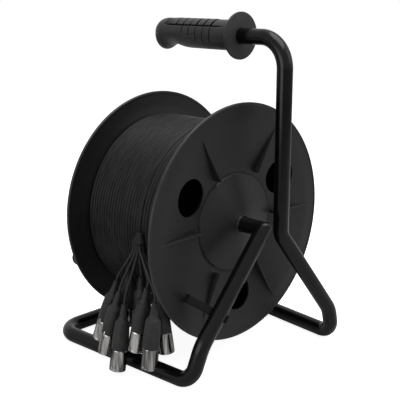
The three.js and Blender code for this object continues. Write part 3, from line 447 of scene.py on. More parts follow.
class NodeBoard:
    """A shader's node tree, with short calls to add nodes and to feed them."""

    def __init__(self, tree: bpy.types.NodeTree) -> None:
        """Keeps the tree."""
        self.tree = tree

    def feed(self, node: bpy.types.Node, inputs: dict) -> None:
        """Gives a node its inputs.

        Args:
            node: the node.
            inputs: a value, or a socket to link, by each input's name or number.
        """
        for key, value in inputs.items():
            if isinstance(value, bpy.types.NodeSocket):
                self.tree.links.new(value, node.inputs[key])
            else:
                node.inputs[key].default_value = value

    def add(self, kind: str, inputs: dict | None = None, **settings: str) -> bpy.types.Node:
        """Adds a node.

        Args:
            kind: the node's type, without the word that starts every shader node's.
            inputs: values or sockets by the names or numbers of its inputs.
            settings: the node's own settings, which are made first.

        Returns:
            The node.
        """
        node = self.tree.nodes.new("ShaderNode" + kind)
        for key, value in settings.items():
            setattr(node, key, value)
        self.feed(node, inputs or {})
        return node

    def noise(self, vector: Socket, scale: float, detail: float) -> Socket:
        """Noise over a vector, about one half on average."""
        node = self.add("TexNoise", {"Vector": vector, "Scale": scale, "Detail": detail})
        return node.outputs["Fac"]

    def map_range(self, inputs: dict, **settings: str) -> Socket:
        """A value carried from one range to another; a range that isn't given is 0 to 1."""
        return self.add("MapRange", inputs, **settings).outputs["Result"]

    def vector_math(self, operation: str, inputs: dict) -> bpy.types.Node:
        """An operation on vectors, named as the node names it."""
        return self.add("VectorMath", inputs, operation=operation)

    def math(self, operation: str, first: Socket, second: Socket) -> Socket:
        """An operation on two values, named as the node names it."""
        return self.add("Math", {0: first, 1: second}, operation=operation).outputs["Value"]

    def mix_colours(self, factor: Socket, a: Socket | tuple, b: tuple) -> Socket:
        """One colour at a factor of 0, another at 1."""
        node = self.add("Mix", {"Factor": factor, "A": a, "B": b}, data_type="RGBA")
        return node.outputs["Result"]

    def mix_shaders(self, factor: Socket, a: Socket, b: Socket) -> Socket:
        """One shader at a factor of 0, another at 1."""
        return self.add("MixShader", {"Fac": factor, 1: a, 2: b}).outputs["Shader"]


@dataclass(frozen=True)
class Finish:
    """A procedural finish: a base colour that drifts, roughness that drifts, and a fine grain.

    Scales are those of noise over metres, and the grain's height is in millimetres. A low
    edge tint dims what is reflected at a glancing angle.
    """

    name: str
    dark: tuple[float, float, float]
    light: tuple[float, float, float]
    drift_scale: float
    roughness: tuple[float, float]
    grain_scale: float
    grain_height: float
    specular: float = 0.5
    metallic: float = 0.0
    edge_tint: float = 1.0
    stretch: tuple[float, float, float] = (1.0, 1.0, 1.0)
    drift_detail: float = 4.0
    drift_range: tuple[float, float] = (0.35, 0.65)
    grain_detail: float = 2.0
    bump_strength: float = 0.6

    def build(self) -> bpy.types.Material:
        """Builds the node tree.

        Returns:
            The material: noise on object coordinates mixes two base colours and two
            roughnesses, and finer noise drives a bump.
        """
        material = bpy.data.materials.new(self.name)
        material.use_nodes = True
        board = NodeBoard(material.node_tree)
        place = board.add("TexCoord").outputs["Object"]
        vector = board.add("Mapping", {"Scale": self.stretch, "Vector": place}).outputs["Vector"]
        drift = board.noise(vector, self.drift_scale, self.drift_detail)
        low, high = self.drift_range
        spread = board.map_range(
            {"From Min": low, "From Max": high, "Value": drift}, interpolation_type="SMOOTHSTEP"
        )
        colour = board.mix_colours(spread, (*self.dark, 1), (*self.light, 1))
        smoothest, roughest = self.roughness
        rough = board.map_range({"To Min": smoothest, "To Max": roughest, "Value": drift})
        bump = board.add(
            "Bump",
            {
                "Strength": self.bump_strength,
                "Distance": self.grain_height * MILLIMETRE,
                "Height": board.noise(vector, self.grain_scale, self.grain_detail),
            },
        )
        board.feed(
            material.node_tree.nodes["Principled BSDF"],
            {
                "Metallic": self.metallic,
                "Specular IOR Level": self.specular,
                "Specular Tint": (self.edge_tint, self.edge_tint, self.edge_tint, 1),
                "Base Color": self.worn(board, colour),
                "Roughness": rough,
                "Normal": bump.outputs["Normal"],
            },
        )
        return material

    def worn(self, board: NodeBoard, colour: Socket) -> Socket:
        """The base colour after wear; a plain finish has none."""
        return colour


@dataclass(frozen=True)
class RimmedPlastic(Finish):
    """Moulded plastic whose rim is rubbed a little paler where the drum is handled."""

    rim_radius: float = 0.153
    rim_blend: float = 0.002
    rub: tuple[float, float, float] = (0.06, 0.06, 0.06)
    rub_scale: float = 60.0
    rub_detail: float = 5.0

    def worn(self, board: NodeBoard, colour: Socket) -> Socket:
        """Mixes in a paler colour by the distance from the axle, broken up by noise.

        Args:
            board: the finish's nodes.
            colour: the base colour before wear.

        Returns:
            The worn colour: the share is the rise of the distance past the rim's radius
            times the noise.
        """
        place = board.add("TexCoord").outputs["Object"]
        axle = (0, 0, AXLE_HEIGHT * MILLIMETRE)
        offset = board.vector_math("SUBTRACT", {0: place, 1: axle}).outputs["Vector"]
        across = board.vector_math("MULTIPLY", {0: offset, 1: (0, 1, 1)}).outputs["Vector"]
        distance = board.vector_math("LENGTH", {0: across}).outputs["Value"]
        band = board.map_range(
            {
                "From Min": self.rim_radius,
                "From Max": self.rim_radius + self.rim_blend,
                "Value": distance,
            }
        )
        broken = board.math("MULTIPLY", band, board.noise(place, self.rub_scale, self.rub_detail))
        return board.mix_colours(broken, colour, (*self.rub, 1))


def grey(level: float, warmth: float = 0.0) -> tuple[float, float, float]:
    """A grey of a linear level, a little warmer or cooler."""
    return (level * (1 + warmth), level, level * (1 - warmth))


@dataclass(frozen=True)
class Palette:
    """Every finish of the reel."""

    lacquer: Finish = Finish(
        "gloss_black_lacquer", dark=grey(0.002), light=grey(0.004), drift_scale=14,
        roughness=(0.18, 0.26), grain_scale=420, grain_height=0.03, specular=0.16,
    )
    plastic: Finish = RimmedPlastic(
        "moulded_drum_plastic", dark=grey(0.005), light=grey(0.007), drift_scale=9,
        roughness=(0.42, 0.48), grain_scale=1500, grain_height=0.04, specular=0.22,
    )
    small_plastic: Finish = Finish(
        "moulded_black_plastic", dark=grey(0.003), light=grey(0.005), drift_scale=40,
        roughness=(0.42, 0.5), grain_scale=1800, grain_height=0.05, specular=0.1,
    )
    grip: Finish = Finish(
        "grip_rubber_stippled", dark=grey(0.021), light=grey(0.029), drift_scale=50,
        roughness=(0.4, 0.5), grain_scale=1600, grain_height=0.07, specular=0.2,
    )
    # Near-black copy of the grip rubber: painted shade in the grip's grooves.
    groove: Finish = Finish(
        "grip_rubber_painted_groove_shade", dark=grey(0.001), light=grey(0.002), drift_scale=50,
        roughness=(0.7, 0.8), grain_scale=1600, grain_height=0.05, specular=0.03,
    )
    cable: Finish = Finish(
        "cable_jacket_matt", dark=grey(0.015), light=grey(0.025), drift_scale=90,
        roughness=(0.42, 0.52), grain_scale=1500, grain_height=0.04, specular=0.08,
        stretch=(3.0, 0.6, 0.6),
    )
    # Near-black copy of the cable jacket: painted shade on the inner layers deep inside the drum, seen
    # through the flange holes.
    shaded_cable: Finish = Finish(
        "cable_jacket_painted_shade", dark=grey(0.0004), light=grey(0.0008), drift_scale=90,
        roughness=(0.7, 0.8), grain_scale=1500, grain_height=0.05, specular=0.0,
        stretch=(3.0, 0.6, 0.6),
    )
    whip: Finish = Finish(
        "whip_jacket_matt", dark=grey(0.012), light=grey(0.02), drift_scale=120,
        roughness=(0.42, 0.55), grain_scale=1500, grain_height=0.04, specular=0.2,
    )
    boot: Finish = Finish(
        "boot_rubber_matt", dark=grey(0.019, 0.03), light=grey(0.028, 0.03), drift_scale=70,
        roughness=(0.5, 0.6), grain_scale=1400, grain_height=0.06, specular=0.2,
    )
    # The base colour runs in vertical bands from near black to mid grey: painted reflection stripes;
    # the stretched bump grain is a real brushed grain.
    nickel: Finish = Finish(
        "nickel_brushed_and_painted_reflection", dark=grey(0.06, 0.02), light=grey(0.38, 0.02), drift_scale=150,
        roughness=(0.12, 0.2), grain_scale=900, grain_height=0.01, metallic=1.0, edge_tint=0.25,
        stretch=(1.0, 1.0, 0.04),
    )
    zinc: Finish = Finish(
        "zinc_plate", dark=grey(0.35), light=grey(0.5), drift_scale=120,
        roughness=(0.3, 0.45), grain_scale=900, grain_height=0.02, metallic=1.0,
    )
    nylon: Finish = Finish(
        "black_nylon", dark=grey(0.002), light=grey(0.004), drift_scale=60,
        roughness=(0.5, 0.6), grain_scale=1500, grain_height=0.03, specular=0.08,
    )
    insert: Finish = Finish(
        "plug_insert_plastic", dark=grey(0.008), light=grey(0.012), drift_scale=90,
        roughness=(0.4, 0.5), grain_scale=1500, grain_height=0.03, specular=0.4,
    )


class Workshop:
    """Turns shells into finished objects and reports them."""

    def __init__(self, palette: Palette) -> None:
        """Builds each finish once."""
        names = [field.name for field in fields(palette)]
        self.materials = {name: getattr(palette, name).build() for name in names}

    def piece(
        self,
        name: str,
        shells: Shell | Sequence[Shell],
        finish: str,
        slot: Slot,
        body: Body,
        replaces: Sequence[str],
        sharp: float = SHARP_ANGLE,
    ) -> bpy.types.Object:
        """Makes a piece of one or more closed shells.

        Args:
            name: the piece's name.
            shells: its closed surfaces, in millimetres in the drum's frame.
            finish: the palette's name for its finish.
            slot: the record's slot that it takes.
            body: the body it moves with.
            replaces: the CAD nodes that it stands for.
            sharp: faces that meet at more than this angle in degrees keep a sharp edge.

        Returns:
            The finished object.
        """
        parts = [shells] if isinstance(shells, Shell) else list(shells)
        offsets = np.cumsum([0] + [len(part.points) for part in parts])
        points = np.vstack([part.points for part in parts])
        faces: list[list[int]] = []
        for part, offset in zip(parts, offsets):
            faces += part.faces(offset)
        obj = linked(name, mesh_of(name, in_row(points), faces))
        return self.dress(obj, finish, slot, body, replaces, sharp)

    def dress(
        self,
        obj: bpy.types.Object,
        finish: str,
        slot: Slot,
        body: Body,
        replaces: Sequence[str] = (),
        sharp: float = SHARP_ANGLE,
    ) -> bpy.types.Object:
        """Shades an object smooth and gives it its finish and body.

        Args:
            obj: the object.
            finish: the palette's name for its finish.
            slot: the record's slot that it takes; not used.
            body: the body it moves with.
            replaces: the CAD nodes that it stands for.
            sharp: faces that meet at more than this angle in degrees keep a sharp edge.

        Returns:
            The same object.
        """
        obj.data.shade_smooth()
        obj.data.set_sharp_from_angle(angle=math.radians(sharp))
        obj.data.materials.clear()
        obj.data.materials.append(self.materials[finish])
        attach(obj, body.value)
        if replaces:
            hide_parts(*replaces)
        log.info("%s: %d faces, rides on %s", obj.name, len(obj.data.polygons), body.value)
        return obj

    def second_finish(self, obj: bpy.types.Object, finish: str, chosen: Array) -> None:
        """Gives the chosen faces, true in a row of one value for each face, a second finish."""
        obj.data.materials.append(self.materials[finish])
        obj.data.polygons.foreach_set("material_index", chosen.astype(np.int32))

    def carried_over(self, node: bpy.types.Object, finish: str) -> None:
        """Gives a CAD node that stays its procedural material.

        Args:
            node: the CAD node's object.
            finish: the palette's name for its finish.
        """
        node.data.materials.clear()
        node.data.materials.append(self.materials[finish])
        log.info("%s: CAD solid kept, finish %s", node.name, finish)


@dataclass
class Stand:
    """The bent steel tube: axle, front leg, floor loop, rear leg, post and handle in one piece.

    The corners are those of its centre line before it is bent, from the axle's end, by the
    front leg's top, knee and foot, round the floor loop and by the rear leg's knee and the
    post to the handle's end. There is a bend at each corner between the two ends.
    """

    radius: float = 10.05
    sides: int = 48
    arc_step: float = 3.0
    fewest_arc_steps: int = 4
    station_gap: float = 12.0
    corners: tuple = (
        (-95, 0, AXLE_HEIGHT),
        (119, 0, AXLE_HEIGHT),
        (113, -102, 54),
        (108, -115.5, 10),
        (-134, -137.5, 10),
        (-134, 141.5, 10),
        (141.5, 123.5, 10),
        (142, 114, 49),
        (119, 35, 168),
        (119, 35, 415),
        (-86.5, 35, 415),
    )
    bends: tuple = (12.5, 45, 22, 28, 28, 22, 45, 24, 37)
    corner_round: float = 6.0
    corner_steps: int = 9
    tolerance: float = 0.01

    def path(self) -> Array:
        """The centre line: straight runs joined by arcs of the bend radii.

        Returns:
            Points: along each arc, centre + (start - centre) cos a + tangent radius sin a.
        """
        corners = np.array(self.corners, dtype=float)
        parts = [corners[:1]]
        for i, radius in enumerate(self.bends, start=1):
            into, out = unit(corners[i] - corners[i - 1]), unit(corners[i + 1] - corners[i])
            turn = math.acos(float(np.clip(into @ out, -1, 1)))
            start = corners[i] - into * radius * math.tan(turn / 2)
            inward = unit(out - into * (into @ out))
            centre = start + inward * radius
            count = max(self.fewest_arc_steps, round(math.degrees(turn) / self.arc_step))
            angle = np.linspace(0, turn, count + 1)[:, None]
            parts.append(centre - inward * radius * np.cos(angle) + into * radius * np.sin(angle))
        parts.append(corners[-1:])
        return np.vstack(parts)

    def stationed(self, path: Array) -> Array:
        """Adds stations along the straight runs, for even shading.

        Args:
            path: the centre line.

        Returns:
            The path with each gap divided evenly into parts of about the station gap.
        """
        gaps = np.linalg.norm(np.diff(path, axis=0), axis=1)
        dense = [path[:1]]
        for i, gap in enumerate(gaps):
            count = max(1, int(gap // self.station_gap))
            share = np.linspace(0, 1, count + 1)[1:, None]
            dense.append(path[i] + share * (path[i + 1] - path[i]))
        return np.vstack(dense)

    def tight_corner(self, line: Array, grid: Array) -> Array:
        """Bends the tube nearly square where the axle meets the leg.

        Args:
            line: the centre line.
            grid: the tube's points, a row for each point of the line.

        Returns:
            The grid with the bend's rows replaced: each line along the tube runs straight to
            its own corner and turns there on a parabola.
        """
        before, corner, after = np.array(self.corners[:3], dtype=float)
        into, out = unit(corner - before), unit(after - corner)
        half_turn = math.acos(float(into @ out)) / 2
        run = self.bends[0] * math.tan(half_turn)
        near = np.linalg.norm(line - corner, axis=1) < run - self.tolerance
        inside = np.flatnonzero(near)
        first, last = inside[0] - 1, inside[-1] + 1
        inward = unit(out - into * (into @ out))
        own = run - (grid[first] - line[first]) @ inward * math.tan(half_turn)
        corners = grid[first] + into * own[:, None]
        reach = np.minimum(own, self.corner_round)[:, None]
        rows = parabola(corners - into * reach, corners, corners + out * reach, self.corner_steps)
        return np.concatenate([grid[: first + 1], rows, grid[last:]])

    def build(self, shop: Workshop) -> None:
        """Makes the tube.

        Args:
            shop: the workshop that finishes the pieces.
        """
        line = self.stationed(self.path())
        grid = self.tight_corner(line, tube_grid(line, self.radius, self.sides))
        shop.piece(
            "steel_tube", close_grid(grid), "lacquer", Slot.LACQUER, Body.STAND, ["frame_tube"]
        )


@dataclass
class HandGrip:
    """The moulded hand grip: pads across its upper side, a bulge under its end and a guard.

    Stations run along it from the guard, and angles run round it from its top. A run is the
    start and the end of a band of relief, from the first and the last groove on.
    """

    origin: tuple = (47.0, 35.0, 415.0)
    length: float = 155.3
    radius: float = 19.4
    bore: float = 10.4
    bore_end: float = 4.0
    bore_end_share: float = 0.05
    guard_radius: float = 30.0
    guard_thickness: float = 3.4
    flare: float = 6.5
    straight_start: float = 24.0
    station_gap: float = 0.45
    relief_start: tuple = (20, 30)
    dome: float = 21.5
    dome_steps: int = 48
    bulge: float = 5.7
    bulge_bell: tuple = (12.8, 12)
    bulge_power: float = 1.2
    neck: float = 4.0
    neck_bell: tuple = (38, 15)
    groove_start: float = 40.0
    groove_pitch: float = 13.0
    groove_depth: float = 1.3
    groove_width: float = 1.15
    top_widening: float = 1.6
    groove_reach: tuple = (122, 122, 118, 96, 84, 0, 0)
    lower_share: float = 0.66
    lower_blend: float = 0.05
    close_grooves: tuple = (5.5, 9.5)
    close_gap: tuple = (0.3, 0.35)
    pad_angle: float = math.radians(54)
    pad_blend: float = 0.04
    pad_height: float = 0.5
    pad_run: tuple = (-1, 0)
    edge_run: tuple = (-22, 4)
    side_angle: float = math.radians(93)
    side_run: tuple = (24, -24)
    side_share: float = 0.4
    ramp: float = 2.0
    lined_share: float = 0.42
    sides: int = 216
    sharp: float = 50.0

    @property
    def last_groove(self) -> float:
        """The last groove's station."""
        return self.groove_start + self.groove_pitch * (len(self.groove_reach) - 1)

    def section(self) -> Array:
        """The outline without its pads.

        Returns:
            Points (radius, along): guard, flare and straight body, then a quarter of an
            ellipse, (radius cos a, end - dome (1 - sin a)).
        """
        end, start = self.length, self.straight_start
        guard = rounded(
            [
                (self.bore, 0, 0),
                (self.guard_radius, 0, 1.2),
                (self.guard_radius, self.guard_thickness, 1.5),
                (self.radius + 1.2, self.guard_thickness + 0.9, 6.5),
                (self.radius, self.guard_thickness + self.flare + 4, 5),
                (self.radius, start, 0),
            ],
            steps=14,
        )
        body = np.arange(start, end - self.dome, self.station_gap)[1:]
        middle = np.stack([np.full_like(body, self.radius), body], axis=-1)
        turn = np.linspace(0, np.pi / 2, self.dome_steps)[:-1]
        along = end - self.dome * (1 - np.sin(turn))
        return np.vstack([guard, middle, np.stack([self.radius * np.cos(turn), along], axis=-1)])

    def relief(self, along: Array) -> Array:
        """How far relief stands out: none at the guard, all along the body, none at the tip."""
        into_dome = np.clip((along + self.dome - self.length) / self.dome, 0, 1)
        return smooth(along, *self.relief_start) * np.sqrt(np.clip(1 - into_dome**2, 0, 1))

    def bell(self, along: Array, from_end: float, width: float) -> Array:
        """A soft bell about a station before the end: e to the power -(distance / width)^2."""
        return np.exp(-(((along + from_end - self.length) / width) ** 2))

    def swelling(self, along: Array, angle: Array) -> Array:
        """The bulge under the end, less the neck before it.

        Args:
            along: stations, one in each row.
            angle: angles, one in each column.

        Returns:
            Its height: (bulge bell - neck bell) times (-cos angle)^power on the under side.
        """
        share = self.bell(along, *self.bulge_bell)
        share = share - self.neck / self.bulge * self.bell(along, *self.neck_bell)
        return self.bulge * share * np.clip(-np.cos(angle), 0, None) ** self.bulge_power

    def notch(self, distance: Array) -> Array:
        """A groove's section: 1 in the middle, 0 beyond its half width, by a smooth step."""
        return 1 - smooth(np.abs(distance), self.groove_width * 0.5, self.groove_width)

    def banded(self, along: Array, run: tuple) -> Array:
        """Marks a run along the grip.

        Args:
            along: stations.
            run: its start from the first groove on, and its end from the last one on.

        Returns:
            1 along the run and 0 beyond it, with a ramp after each of its two stations.
        """
        first, last = self.groove_start + run[0], self.last_groove + run[1]
        fall = 1 - smooth(along, last, last + self.ramp)
        return smooth(along, first, first + self.ramp) * fall

    def over_top(self, angle: Array) -> Array:
        """1 over the pads and 0 beyond their angle."""
        return 1 - smooth(np.abs(angle), self.pad_angle, self.pad_angle + self.pad_blend)

    def grooves(self, along: Array, angle: Array) -> Array:
        """How deep the grooves are, from 0 to 1.

        Args:
            along: stations, one in each row.
            angle: angles, one in each column.

        Returns:
            The largest of the notches across the pads, their narrower ends down the sides, two
            close ones behind the last, the pads' long edges and a line along each side.
        """
        turn = np.abs(angle)
        top = self.over_top(angle)
        field = np.zeros(np.broadcast_shapes(along.shape, angle.shape))
        for i, degrees in enumerate(self.groove_reach):
            place = along - self.groove_start - self.groove_pitch * i
            end = max(self.pad_angle, math.radians(degrees))
            field = np.maximum(field, self.notch(place / self.top_widening) * top)
            shown = 1 - smooth(turn, end, end + self.lower_blend)
            field = np.maximum(field, self.lower_share * self.notch(place) * shown)
        for beyond in self.close_grooves:
            place = along - self.last_groove - beyond
            line = self.notch(place / self.top_widening) * top
            field = np.maximum(field, line * smooth(turn, *self.close_gap))
        edge = self.notch(self.radius * turn - self.radius * self.pad_angle)
        field = np.maximum(field, edge * self.banded(along, self.edge_run))
        low = self.notch(self.radius * turn - self.radius * self.side_angle)
        return np.maximum(field, self.side_share * low * self.banded(along, self.side_run))

    def around(self, along: Array, radius: Array | float, angle: Array) -> Array:
        """Points round the grip's axis: (-along, -radius sin angle, radius cos angle)."""
        parts = np.broadcast_arrays(-along, -radius * np.sin(angle), radius * np.cos(angle))
        return np.stack(parts, axis=-1)

    def bore_rows(self, angle: Array) -> Array:
        """The rows of points on the bore.

        Args:
            angle: the angles of the columns.

        Returns:
            Three rows: its end drawn nearly to a point, its end's rim and its mouth.
        """
        stations = np.array([[self.length - self.bore_end], [0.0]])
        rows = self.around(stations, self.bore, angle)
        return np.concatenate([rows[:1] * [1, self.bore_end_share, self.bore_end_share], rows])

    def lined(self, grooves: Array, quads: int, faces: int) -> Array:
        """Chooses the faces that lie in a groove, which take the painted groove shade.

        Args:
            grooves: how deep the grooves are at every corner of the grid.
            quads: how many faces the grid has.
            faces: how many faces the whole piece has.

        Returns:
            True for each face whose four corners' mean is over the lined share.
        """
        pairs = (grooves + np.roll(grooves, -1, axis=1)) / 2
        mean = (pairs + np.roll(pairs, -1, axis=0)) / 2
        chosen = np.zeros(faces, bool)
        chosen[:quads] = (mean > self.lined_share).ravel()[:quads]
        return chosen

    def build(self, shop: Workshop) -> None:
        """Makes the grip: radius + swelling + pads - grooves, for each station and angle.

        Args:
            shop: the workshop that finishes the pieces.
        """
        profile = self.section()
        base, along = profile[:, :1], profile[:, 1:2]
        angle = np.linspace(-np.pi, np.pi, self.sides, endpoint=False)[None, :]
        relief, grooves = self.relief(along), self.grooves(along, angle)
        pads = self.pad_height * self.over_top(angle) * self.banded(along, self.pad_run)
        radius = base + self.swelling(along, angle) * relief
        radius = radius + pads * relief - self.groove_depth * grooves * relief
        bore, outside = self.bore_rows(angle), self.around(along, radius, angle)
        shell = close_grid(np.concatenate([bore, outside[1:]])).shifted(*self.origin)
        obj = shop.piece(
            "hand_grip", shell, "grip", Slot.GRIP, Body.STAND, ["grip"], sharp=self.sharp
        )
        depth = np.concatenate([np.zeros((len(bore), self.sides)), grooves[1:]])
        chosen = self.lined(depth, len(shell.quads), len(obj.data.polygons))
        # The faces in the grooves take the near-black copy of the rubber: painted shade.
        shop.second_finish(obj, "groove", chosen)


@dataclass
class Drum:
    """The plastic drum's two flanges of one moulding; the barrel stays the CAD solid.

    Radii are from the axle, and widths along it from the drum's middle plane.
    """

    radius: float = 155.0
    half_width: float = 81.5
    plate: float = 2.6
    rim_width: float = 3.5
    rim_depth: float = 4.0
    rim_step: float = 0.9
    rim_break: float = 0.9
    rim_flat: float = 20.0
    dish: float = 10.8
    crease: float = 62.0
    crease_step: float = 1.8
    nose: float = 17.0
    nose_height: float = 3.5
    nose_fall: float = 2.0
    bore: float = 13.13
    sleeve: float = 24.0
    sleeve_wall: float = 3.6
    barrel: float = 64.0
    spigot: float = 60.7
    spigot_wall: float = 2.6
    spigot_length: float = 12.0
    rib_count: int = 6
    rib_steps: int = 40
    rib_thickness: float = 3.0
    rib_inner: float = 70.0
    rib_overrun: float = 8.0
    rib_rise: float = 0.6
    rib_sink: float = 0.7
    rib_sink_length: float = 14.0
    rib_thinning: float = 0.6
    rib_thin_length: float = 30.0
    rib_break: tuple = (0.45, 0.7)
    rib_root: float = 0.25
    rib_start: tuple = (-0.01, 1.4)
    hole_count: int = 3
    hole_turn: float = 0.25
    hole_radius: float = 23.8
    hole_pitch: float = 95.0
    hole_sides: int = 96
    cutter_ends: tuple = (50.0, 95.0)
    far_turn: float = math.radians(-24)
    knob_pitch: float = 123.0
    knob_angle: float = math.radians(-144)
    boss_bore: float = 3.3
    boss_radius: float = 11.0
    boss_height: float = 7.0
    boss_sides: int = 64
    sides: int = 288

    @property
    def face(self) -> float:
        """How far out the plate's flat outer face lies."""
        return self.half_width - self.rim_step

    def face_at(self, radius: Array | float) -> Array | float:
        """The plate's outer face by radius: level near the rim, then falling evenly inwards."""
        slope = self.dish / (self.radius - self.rim_flat - self.crease)
        return self.face - slope * np.maximum(0, self.radius - self.rim_flat - radius)

    def section(self) -> Array:
        """The flange's half section.

        Returns:
            Points (radius, along) with rounded corners: the nose, the cone, the dished plate
            and the rim's bead, then the inner face back to the spigot and the sleeve.
        """
        outer = self.half_width + self.nose_height
        crease_face = self.face - self.dish
        crease_back = crease_face - self.plate
        face_back = self.face - self.plate
        bend = self.crease + 4.5
        flat = self.radius - self.rim_flat
        bead = self.radius - self.rim_width
        back = self.half_width - self.rim_depth
        edge = self.rim_break
        hub = self.bore + self.sleeve_wall
        spigot, spigot_end = self.spigot, crease_back - self.spigot_length
        spigot_bore = spigot - self.spigot_wall
        return rounded(
            [
                (self.bore, outer - 0.7, 0),
                (self.bore + 0.8, outer - 0.8, 0.3),
                (self.nose, outer - self.nose_fall, 2),
                (self.crease + 1.4, crease_face + self.crease_step, 0.9),
                (self.crease + 2.3, crease_face - 0.2, 0.5),
                (bend, float(self.face_at(bend)), 0.8),
                (flat, self.face, 6),
                (bead, self.face, 0.5),
                (bead + self.rim_step, self.half_width, 0.6),
                (self.radius - edge, self.half_width, 0.7),
                (self.radius, self.half_width - edge, 0.7),
                (self.radius, back + edge, 0.7),
                (self.radius - edge, back, 0.7),
                (bead, back, 0.4),
                (bead - 0.6, face_back, 0.3),
                (flat, face_back, 6),
                (self.barrel, crease_back, 0),
                (spigot, crease_back, 0),
                (spigot, spigot_end, 0.5),
                (spigot_bore, spigot_end, 0.5),
                (spigot_bore, crease_back + 1.2, 1),
                (hub, outer - self.nose_fall - self.plate, 1),
                (hub, outer - self.sleeve, 0.5),
                (self.bore, outer - self.sleeve, 0),
            ],
            steps=6,
        )

    def rib(self, angle: float) -> Shell:
        """A radial fin whose top edge is level with the rim.

        Args:
            angle: where it stands round the axle.

        Returns:
            A loft along the radius of six-cornered sections: the root follows the dish, the
            top is level and sinks into the plate past the end of the dish, the tip thins, and
            the top's edges are broken.
        """
        tip = self.radius - self.rim_flat + self.rib_overrun
        radius = np.linspace(self.rib_inner, tip, self.rib_steps)
        root = self.face_at(radius) - self.plate / 2
        sunk = self.rib_sink * smooth(radius, tip - self.rib_sink_length, tip)
        top = self.face + self.rib_rise - sunk
        thinned = self.rib_thinning * smooth(radius, tip - self.rib_thin_length, tip)
        half = self.rib_thickness / 2 * (1 - thinned)
        before, after = self.rib_start
        begun = smooth(radius, self.rib_inner + before, self.rib_inner + after)
        across, down = self.rib_break
        top_half = (half - across) * (0.5 + 0.5 * begun)
        shoulder, foot = top - down, half + self.rib_root
        corners = (
            (root, -foot), (shoulder, -half), (top, -top_half),
            (top, top_half), (shoulder, half), (root, foot),
        )
        rows = np.stack([np.stack([x, radius, z], axis=-1) for x, z in corners], axis=1)
        return close_grid(rows).moved(rotation_x(angle))

    def holes(self) -> Shell:
        """The cutters of the round holes.

        Returns:
            One shell: a cylinder at the holes' pitch, turned to each hole's angle.
        """
        ends = np.array([(self.hole_radius, along) for along in self.cutter_ends])
        cylinder = revolve(ends, self.hole_sides, False).shifted(0, self.hole_pitch, 0)
        turns = [(i + self.hole_turn) / self.hole_count for i in range(self.hole_count)]
        return joined([cylinder.moved(rotation_x(turn * FULL_TURN)) for turn in turns])

    def at_knob(self, shell: Shell) -> Shell:
        """Moves a shell that is drawn about the x axis to the knob's place on the far flange."""
        return on_axle(shell.shifted(0, self.knob_pitch, 0).moved(rotation_x(self.knob_angle)))

    def boss(self) -> Shell:
        """The boss on the far flange that takes the knob's spindle.

        Returns:
            A turned ring at the knob's place, its root half way into the plate.
        """
        top = -(self.face + self.boss_height)
        root = -(float(self.face_at(self.knob_pitch)) - self.plate / 2)
        section = rounded(
            [
                (self.boss_bore, top, 0),
                (self.boss_radius - 0.8, top, 0.6),
                (self.boss_radius, top + 1, 0.8),
                (self.boss_radius + 0.6, root, 0),
                (self.boss_bore, root, 0),
            ],
        )
        return self.at_knob(revolve(section, self.boss_sides, True))

    def flange(self, shop: Workshop, side: Side) -> None:
        """Makes one flange, cuts its holes and adds its ribs, and the boss on the far one.

        Args:
            shop: the workshop that finishes it.
            side: which of the two it is.
        """
        far = side is Side.FAR
        word = "far" if far else "near"
        place = rotation_x(self.far_turn) @ rotation_z(math.pi) if far else np.eye(4)
        disc = on_axle(revolve(self.section(), self.sides, True).moved(place))
        look = ("plastic", Slot.PLASTIC, Body.DRUM)
        obj = shop.piece(
            f"{word}_drum_flange", disc, *look, [f"{word}_flange"], sharp=SOFTER_SHARP_ANGLE
        )
        cut(obj, on_axle(self.holes().moved(place)))
        turns = [i / self.rib_count * FULL_TURN for i in range(self.rib_count)]
        extra = [on_axle(self.rib(turn).moved(place)) for turn in turns]
        if far:
            extra.append(self.boss())
        add_shells(obj, extra)
        shop.dress(obj, *look, sharp=SOFTER_SHARP_ANGLE)

    def build(self, shop: Workshop) -> None:
        """Makes both flanges."""
        for side in Side:
            self.flange(shop, side)


